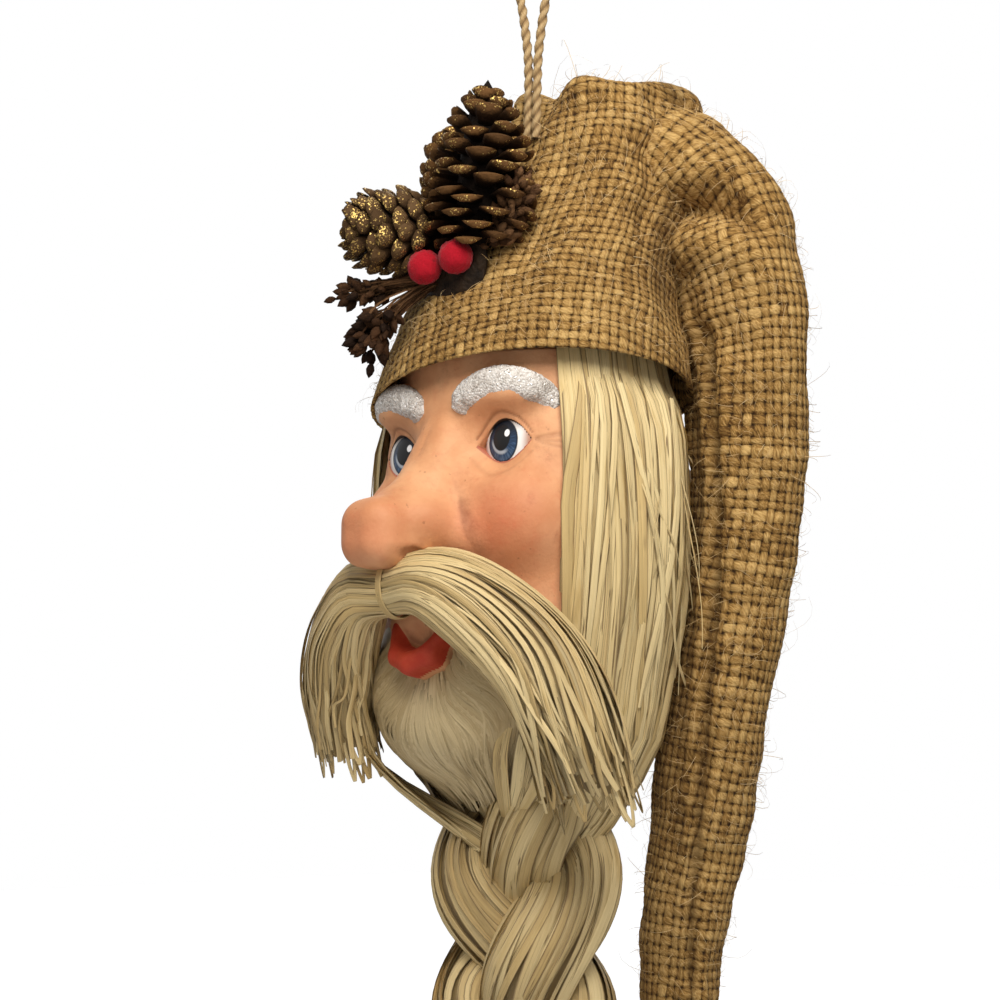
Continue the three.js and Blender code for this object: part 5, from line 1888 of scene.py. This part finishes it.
@dataclass(frozen=True)
class FlockedRed(Finish):
    """Red berry with a short velvet nap."""

    slot: ClassVar[str] = "berry"

    def dress(self, paint: Paint) -> Material:
        """Deep red, frosted by the nap at its edges, with a few dark rubbed spots.

        Args:
            paint: The node tree to fill.

        Returns:
            The material.
        """
        place = paint.place()
        nap = paint.noise(place, 1600.0, 3.0, 0.7)
        rub = paint.noise(place, 300.0, 3.0).ease(0.62, 0.74)
        colour = paint.mix(nap, (0.27, 0.002, 0.008), (0.46, 0.006, 0.02))
        colour = paint.mix(rub * 0.55, colour, (0.1, 0.004, 0.006))
        return paint.finish(
            nap, 0.5, Base_Color=colour, Roughness=0.9, Specular_IOR_Level=0.2, Sheen_Weight=0.12,
            Sheen_Roughness=0.4,
        )


@dataclass(frozen=True)
class DriedSeed(Finish):
    """Dried seed heads and their stems, each seed with its own brown."""

    slot: ClassVar[str] = "sprig"

    def dress(self, paint: Paint) -> Material:
        """Browns by seed, wrinkled and dull, paler on the ridges.

        Args:
            paint: The node tree to fill.

        Returns:
            The material.
        """
        place = paint.place()
        tone = paint.value("tone")
        wrinkle = paint.noise(place, 700.0, 3.0, 0.65)
        shade = tone + (wrinkle - 0.5) * 0.5
        colour = paint.ramp(
            shade, (0.1, (0.014, 0.007, 0.004)), (0.5, (0.055, 0.025, 0.011)), (0.85, (0.17, 0.088, 0.04))
        )
        colour = paint.mix(wrinkle.ease(0.66, 0.78) * 0.3, colour, (0.2, 0.12, 0.065))
        return paint.finish(wrinkle * 1.5, 0.7, Base_Color=colour, Roughness=0.8, Specular_IOR_Level=0.08)


@dataclass(frozen=True)
class ShadedGlue(Finish):
    """Hot glue under the trim, painted near-black as the shade under the cones and berries."""

    slot: ClassVar[str] = "glue"

    def dress(self, paint: Paint) -> Material:
        """Very dark brown and uneven, with a dull shine: painted shade.

        Args:
            paint: The node tree to fill.

        Returns:
            The material.
        """
        lump = paint.noise(paint.place(), 220.0, 4.0, 0.6)
        # painted shade: the glue is near-black where it lies in the shade of the trim
        colour = paint.ramp(lump, (0.3, (0.006, 0.0035, 0.002)), (0.7, (0.035, 0.02, 0.01)))
        return paint.finish(lump * 3.0, 0.8, Base_Color=colour, Roughness=0.7, Specular_IOR_Level=0.15)


def basis(axis: Sequence[float]) -> Array:
    """Three directions as rows, the last along the axis.

    Args:
        axis: Direction of the last row.

    Returns:
        The rows.
    """
    w = unit(np.asarray(axis, dtype=float))
    u = unit(np.cross(w, (0.31, 0.9, 0.3)))
    return np.stack([u, np.cross(w, u), w])


@dataclass
class Cone:
    """Pine cone: woody scales set round a spindle by the golden angle."""

    name: str
    base: Point
    axis: Point
    length: float
    radius: float
    count: int
    open: float
    span: float  # half width of a scale, as a share of the cone's radius
    lip: float  # half thickness of its lip, likewise
    seed: int

    def patch(self) -> Patch:
        """All scales at once.

        A scale leaves the spindle, runs out and curls up. Its section is a lens, fuller below, that widens to a
        thick lip and closes. Height rises with the scale's number, and the reach follows the cone's egg outline.

        Returns:
            The scales.
        """
        rng = np.random.default_rng(self.seed)
        rank = (np.arange(self.count) + 0.5) / self.count
        reach = self.radius * spline([0, 0.12, 0.35, 0.7, 0.92, 1], [0.72, 0.95, 1.0, 0.78, 0.42, 0.2], rank)
        reach = reach * rng.uniform(0.93, 1.05, self.count)
        turn = np.arange(self.count) * GOLDEN_ANGLE + rng.normal(0, 0.06, self.count)
        along = np.array([0.0, 0.4, 0.74, 0.9, 0.98, 1.0])
        broad = np.array([0.34, 0.6, 0.92, 1.0, 0.72, 0.05])
        thick = np.array([0.5, 0.45, 0.6, 1.0, 0.8, 0.05])
        ring = np.linspace(0, math.tau, 11)
        rise = self.length * (0.02 + 0.83 * rank)
        lean = (1 - self.open) + (0.35 + 0.5 * self.open) * rank**2 + rng.normal(0, 0.05, self.count)
        out = 0.12 + 0.88 * along
        r = reach[:, None] * out
        up = rise[:, None] + reach[:, None] * (lean[:, None] * along**1.6 - 0.15 * along)
        wide = (self.span * self.radius * (0.5 + 0.5 * reach / self.radius))[:, None] * broad
        deep = np.broadcast_to(self.lip * self.radius * thick, wide.shape)
        flat = wide[..., None] * np.cos(ring)
        lens = np.sin(ring) * np.abs(np.sin(ring)) * np.where(np.sin(ring) < 0, 1.5, 0.7)
        lift = deep[..., None] * lens + 0.1 * wide[..., None] * np.cos(ring) ** 2
        c, s = np.cos(turn)[:, None, None], np.sin(turn)[:, None, None]
        x = c * (r[..., None] - 0.12 * np.abs(flat)) - s * flat
        y = s * (r[..., None] - 0.12 * np.abs(flat)) + c * flat
        local = np.stack([x, y, up[..., None] + lift], -1)
        points = np.asarray(self.base) + local @ basis(self.axis)
        tone = rng.uniform(0, 1, self.count)[:, None, None]
        return Patch.copies(points, None, along=along[None, :, None], tone=tone)

    def spindle(self) -> Patch:
        """The dark core that the scales stand on, and its closed tip.

        Returns:
            The spindle.
        """
        t, turn = np.linspace(0, 1, 9), np.linspace(0, math.tau, 13)
        size = self.radius * 0.42 * np.sqrt(np.maximum(1 - t**3, 0)) * ease(t, -0.2, 0.15)
        local = np.stack(
            [
                size[:, None] * np.cos(turn), size[:, None] * np.sin(turn),
                np.broadcast_to(self.length * 0.96 * t[:, None], (9, 13)),
            ],
            -1,
        )
        zero = np.zeros((9, 13))
        return Patch.grid(np.asarray(self.base) + local @ basis(self.axis), None, along=zero, tone=zero)


@dataclass
class Sprig:
    """Dried seed head: seeds crowded round a bent stem, or set at the ends of thin stalks."""

    name: str
    path: tuple[Point, ...]
    seeds: int
    size: tuple[float, float]
    spread: float
    from_share: float
    stalks: int
    seed: int
    tone: tuple[float, float]

    def patch(self) -> Patch:
        """Stems as thin strips crossed in pairs, and seeds as small closed eggs that point outwards.

        Returns:
            Seeds and stems.
        """
        rng = np.random.default_rng(self.seed)
        keys = np.linspace(0, 1, len(self.path))
        share = rng.uniform(self.from_share, 1.0, self.seeds)
        spot = spline(keys, self.path, share)
        away = unit(rng.normal(size=(self.seeds, 3)))
        along = unit(np.asarray(self.path[-1], dtype=float) - np.asarray(self.path[0], dtype=float))
        point = unit(away + along * 0.8)
        spot = spot + away * (self.spread * rng.uniform(0.25, 1.0, self.seeds) ** 0.6)[:, None]
        girth = rng.uniform(*self.size, self.seeds)
        t, ring = np.array([0.0, 0.18, 0.45, 0.75, 1.0]), np.linspace(0, math.tau, 8)
        swell = np.array([0.12, 0.72, 1.0, 0.7, 0.06])
        side = unit(np.cross(point, (0.2, 0.3, 0.9)))
        over = np.cross(point, side)
        circle = side[:, None, None] * np.cos(ring)[:, None] + over[:, None, None] * np.sin(ring)[:, None]
        core = spot[:, None] + point[:, None] * ((t - 0.4) * 1.7)[:, None] * girth[:, None, None]
        eggs = core[:, :, None] + circle * (0.5 * swell)[:, None, None] * girth[:, None, None, None]
        tone = rng.uniform(*self.tone, self.seeds)[:, None, None]
        parts = [Patch.copies(eggs, None, tone=tone)]
        if self.stalks:
            pick = rng.integers(0, self.seeds, self.stalks)
            u = np.linspace(0, 1, 7)[:, None]
            root = spline(keys, self.path, np.zeros(1)) + rng.normal(0, 1.2, (self.stalks, 3))
            bend = spline(keys, self.path, rng.uniform(0.3, 0.6, self.stalks)) + rng.normal(0, 2.3, (self.stalks, 3))
            line = (1 - u) ** 2 * root[:, None] + 2 * u * (1 - u) * bend[:, None] + u * u * spot[pick][:, None]
            ways = unit(rng.normal(size=(self.stalks, 2, 1, 3)))
            flat = np.array([-0.4, 0.0, 0.4])[:, None]
            strips = line[:, None, :, None] + ways[:, :, :, None] * flat
            strips = strips.reshape(-1, 7, 3, 3)
            stem = np.repeat(rng.uniform(0.45, 0.85, self.stalks), 2)[:, None, None]
            parts.append(Patch.copies(strips, None, tone=stem))
        return Patch.joined(parts)


@dataclass
class Trim:
    """Cones, berries and dried sprigs stuck to the front of the cap."""

    cones: tuple[Cone, ...] = (
        Cone("front", (11.5, -36.5, 42), (0.05, 0.05, 1.0), 58, 18.2, 84, 1.0, 0.29, 0.07, 11),
        Cone("side", (-3, -38, 48), (-0.7, -0.7, 0.1), 33, 15.0, 78, 0.45, 0.27, 0.13, 12),
        Cone("rear", (-5, -24, 57), (-0.2, 0.05, 0.98), 33, 14.5, 70, 0.5, 0.28, 0.12, 13),
    )
    sprigs: tuple[Sprig, ...] = (
        Sprig(
            "right", ((18, -36, 43), (23, -32.5, 51), (27, -31, 62)), 150, (1.8, 3.4), 5.0, 0.05, 22, 21, (0.3, 0.9)
        ),
        Sprig(
            "side", ((-4, -42, 33.5), (-19, -51, 31), (-31, -56, 30.5)), 48, (2.0, 3.6), 4.2, 0.42, 110, 22,
            (0.1, 0.6),
        ),
        Sprig(
            "lower", ((-2.5, -40.5, 32.5), (-16, -50, 24), (-22, -53.5, 11)), 105, (2.2, 4.0), 6.4, 0.58, 60, 23,
            (0.0, 0.5),
        ),
    )
    berries: tuple[tuple[str, Point], ...] = (("left", (10.3, -44.2, 38)), ("right", (-1.0, -47.0, 36)))
    berry_radius: float = 5.5

    def build(self) -> None:
        """Makes each piece."""
        finishes = {
            "front": ConeWood(),
            "side": ConeWood((0.009, 0.005, 0.002), (0.038, 0.02, 0.009), (0.11, 0.062, 0.027), 0.5),
        }
        for cone in self.cones:
            finish = finishes.get(cone.name, ConeWood(wood=(0.045, 0.025, 0.011), gold=0.3))
            made = Patch.joined([cone.spindle(), cone.patch()])
            made.object(f"cone_{cone.name}", finish, Body.HEAD, f"pine_cone_{cone.name}")
        for sprig in self.sprigs:
            sprig.patch().object(f"seeds_{sprig.name}", DriedSeed(), Body.HEAD, f"sprig_{sprig.name}")
        v, h = np.meshgrid(np.linspace(-math.pi / 2, math.pi / 2, 25), np.linspace(0, math.tau, 41), indexing="ij")
        ball = np.stack([np.cos(v) * np.cos(h), np.cos(v) * np.sin(h), np.sin(v)], -1)
        ball = ball * (self.berry_radius + 0.12 * waves(ball, 0.5, 31))[..., None]
        for name, centre in self.berries:
            Patch.grid(np.asarray(centre) + ball).object(
                f"flocked_berry_{name}", FlockedRed(), Body.HEAD, f"berry_{name}"
            )


PARTS = (Cap(), Face(), Hair(), Moustache(), ChinTuft(), Beard(), Trim())


@dataclass(frozen=True)
class Studio:
    """Camera at the photograph's angle, soft lamps, a pale floor and a white surround."""

    eye: Point = (483.85, -497.85, -124.76)
    azimuth: float = 45.0
    pitch: float = 7.4
    lens: float = 76.37
    film: float = 36.0
    aim: Point = (0.0, -20.0, -40.0)  # where the lamps point
    floor: float = -400.0
    floor_reach: float = 4000.0

    @staticmethod
    def placed(data: bpy.types.ID, axes: Sequence[Array], at: Array) -> bpy.types.Object:
        """Links a camera or lamp to the scene.

        Args:
            data: The camera or lamp.
            axes: Its X, Y and Z directions.
            at: Its place in the head frame.

        Returns:
            The object.
        """
        made = bpy.data.objects.new(data.name, data)
        turn = np.eye(4)
        turn[:3, :3] = np.stack(axes, -1)
        turn[:3, 3] = row(at)
        made.matrix_world = Matrix(turn.tolist())
        bpy.context.scene.collection.objects.link(made)
        return made

    def camera(self) -> None:
        """Places the camera: it looks back along its azimuth, tipped up by its pitch."""
        a, p = math.radians(self.azimuth), math.radians(self.pitch)
        ahead = np.array([-math.sin(a) * math.cos(p), math.cos(a) * math.cos(p), math.sin(p)])
        right = np.array([math.cos(a), math.sin(a), 0.0])
        data = bpy.data.cameras.new("camera")
        data.lens, data.sensor_width, data.sensor_fit = self.lens, self.film, "HORIZONTAL"
        data.clip_start, data.clip_end = 0.05, 30.0
        bpy.context.scene.camera = self.placed(data, (right, np.cross(right, ahead), -ahead), np.array(self.eye))

    def lamp(self, name: str, at: Sequence[float], size: float, watts: float, colour: Colour) -> None:
        """A square soft lamp at a head-frame point, aimed at the face.

        Args:
            name: Its name.
            at: Its place.
            size: Its width in metres.
            watts: Its power.
            colour: Its colour.
        """
        data = bpy.data.lights.new(name, "AREA")
        data.size, data.energy, data.color = size, watts, colour
        place = np.asarray(at, dtype=float)
        back = unit(place - np.array(self.aim))
        side = unit(np.cross([0.0, 0.0, 1.0], back))
        self.placed(data, (side, np.cross(back, side), back), place)

    def surround(self) -> None:
        """A white world that lights the object softly, and a floor that stays white to the camera."""
        world = bpy.data.worlds.new("surround")
        bpy.context.scene.world = world
        world.use_nodes = True
        nodes, links = world.node_tree.nodes, world.node_tree.links
        nodes.clear()
        path = nodes.new("ShaderNodeLightPath")
        seen = nodes.new("ShaderNodeMath")
        seen.operation = "MAXIMUM"
        links.new(path.outputs["Is Camera Ray"], seen.inputs[0])
        links.new(path.outputs["Is Glossy Ray"], seen.inputs[1])
        strength = nodes.new("ShaderNodeMapRange")
        strength.inputs["To Min"].default_value = 0.2
        strength.inputs["To Max"].default_value = 1.0
        links.new(seen.outputs[0], strength.inputs["Value"])
        glow = nodes.new("ShaderNodeBackground")
        glow.inputs["Color"].default_value = (1.0, 1.0, 1.0, 1.0)
        links.new(strength.outputs[0], glow.inputs["Strength"])
        links.new(glow.outputs[0], nodes.new("ShaderNodeOutputWorld").inputs[0])
        paint = Paint("floor")
        ground = bpy.data.meshes.new("floor")
        square = np.array([(-1, -1), (1, -1), (1, 1), (-1, 1)]) * self.floor_reach
        corners = row(np.column_stack([square, np.full(4, self.floor)]))
        ground.from_pydata(corners.tolist(), [], [(0, 1, 2, 3)])
        view = paint.node("ShaderNodeLightPath", {}, {}, "Is Camera Ray")
        paint.shader.inputs["Emission Strength"].default_value = 0.88
        white = paint.mix(view, (0.0, 0.0, 0.0), (1.0, 1.0, 1.0))
        ground.materials.append(paint.finish(Base_Color=(0.9, 0.9, 0.9), Roughness=0.95, Emission_Color=white))
        floor = bpy.data.objects.new("floor", ground)
        bpy.context.scene.collection.objects.link(floor)

    def build(self) -> None:
        """Sets the view, the camera, the lamps and the surround."""
        bpy.context.scene.view_settings.view_transform = "Standard"
        self.camera()
        self.lamp("key", (350, -285, 310), 0.35, 3.8, (1.0, 0.96, 0.9))
        self.lamp("fill", (240, -680, 20), 0.9, 1.0, (1.0, 0.98, 0.95))
        self.lamp("back", (-300, 420, 480), 0.6, 1.5, (1.0, 1.0, 1.0))
        self.surround()


def dress_nodes(nodes: dict[str, bpy.types.Object], finishes: dict[str, Finish]) -> None:
    """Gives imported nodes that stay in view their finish.

    Args:
        nodes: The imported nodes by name.
        finishes: The finish of each node to dress.
    """
    for name, finish in finishes.items():
        mesh = nodes[name].data
        mesh.materials.clear()
        mesh.materials.append(finish.material())


def main() -> None:
    """Builds the studio and each sub-assembly, and notes the size of the result."""
    logging.basicConfig(level=logging.INFO, format="%(name)s: %(message)s")
    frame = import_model()
    Studio().build()
    Hanger().build()
    for part in PARTS:
        part.build()
    dress_nodes(frame["nodes"], {"back_board": Fibreboard(), "trim_pad": ShadedGlue()})


if __name__ == "__main__":
    main()
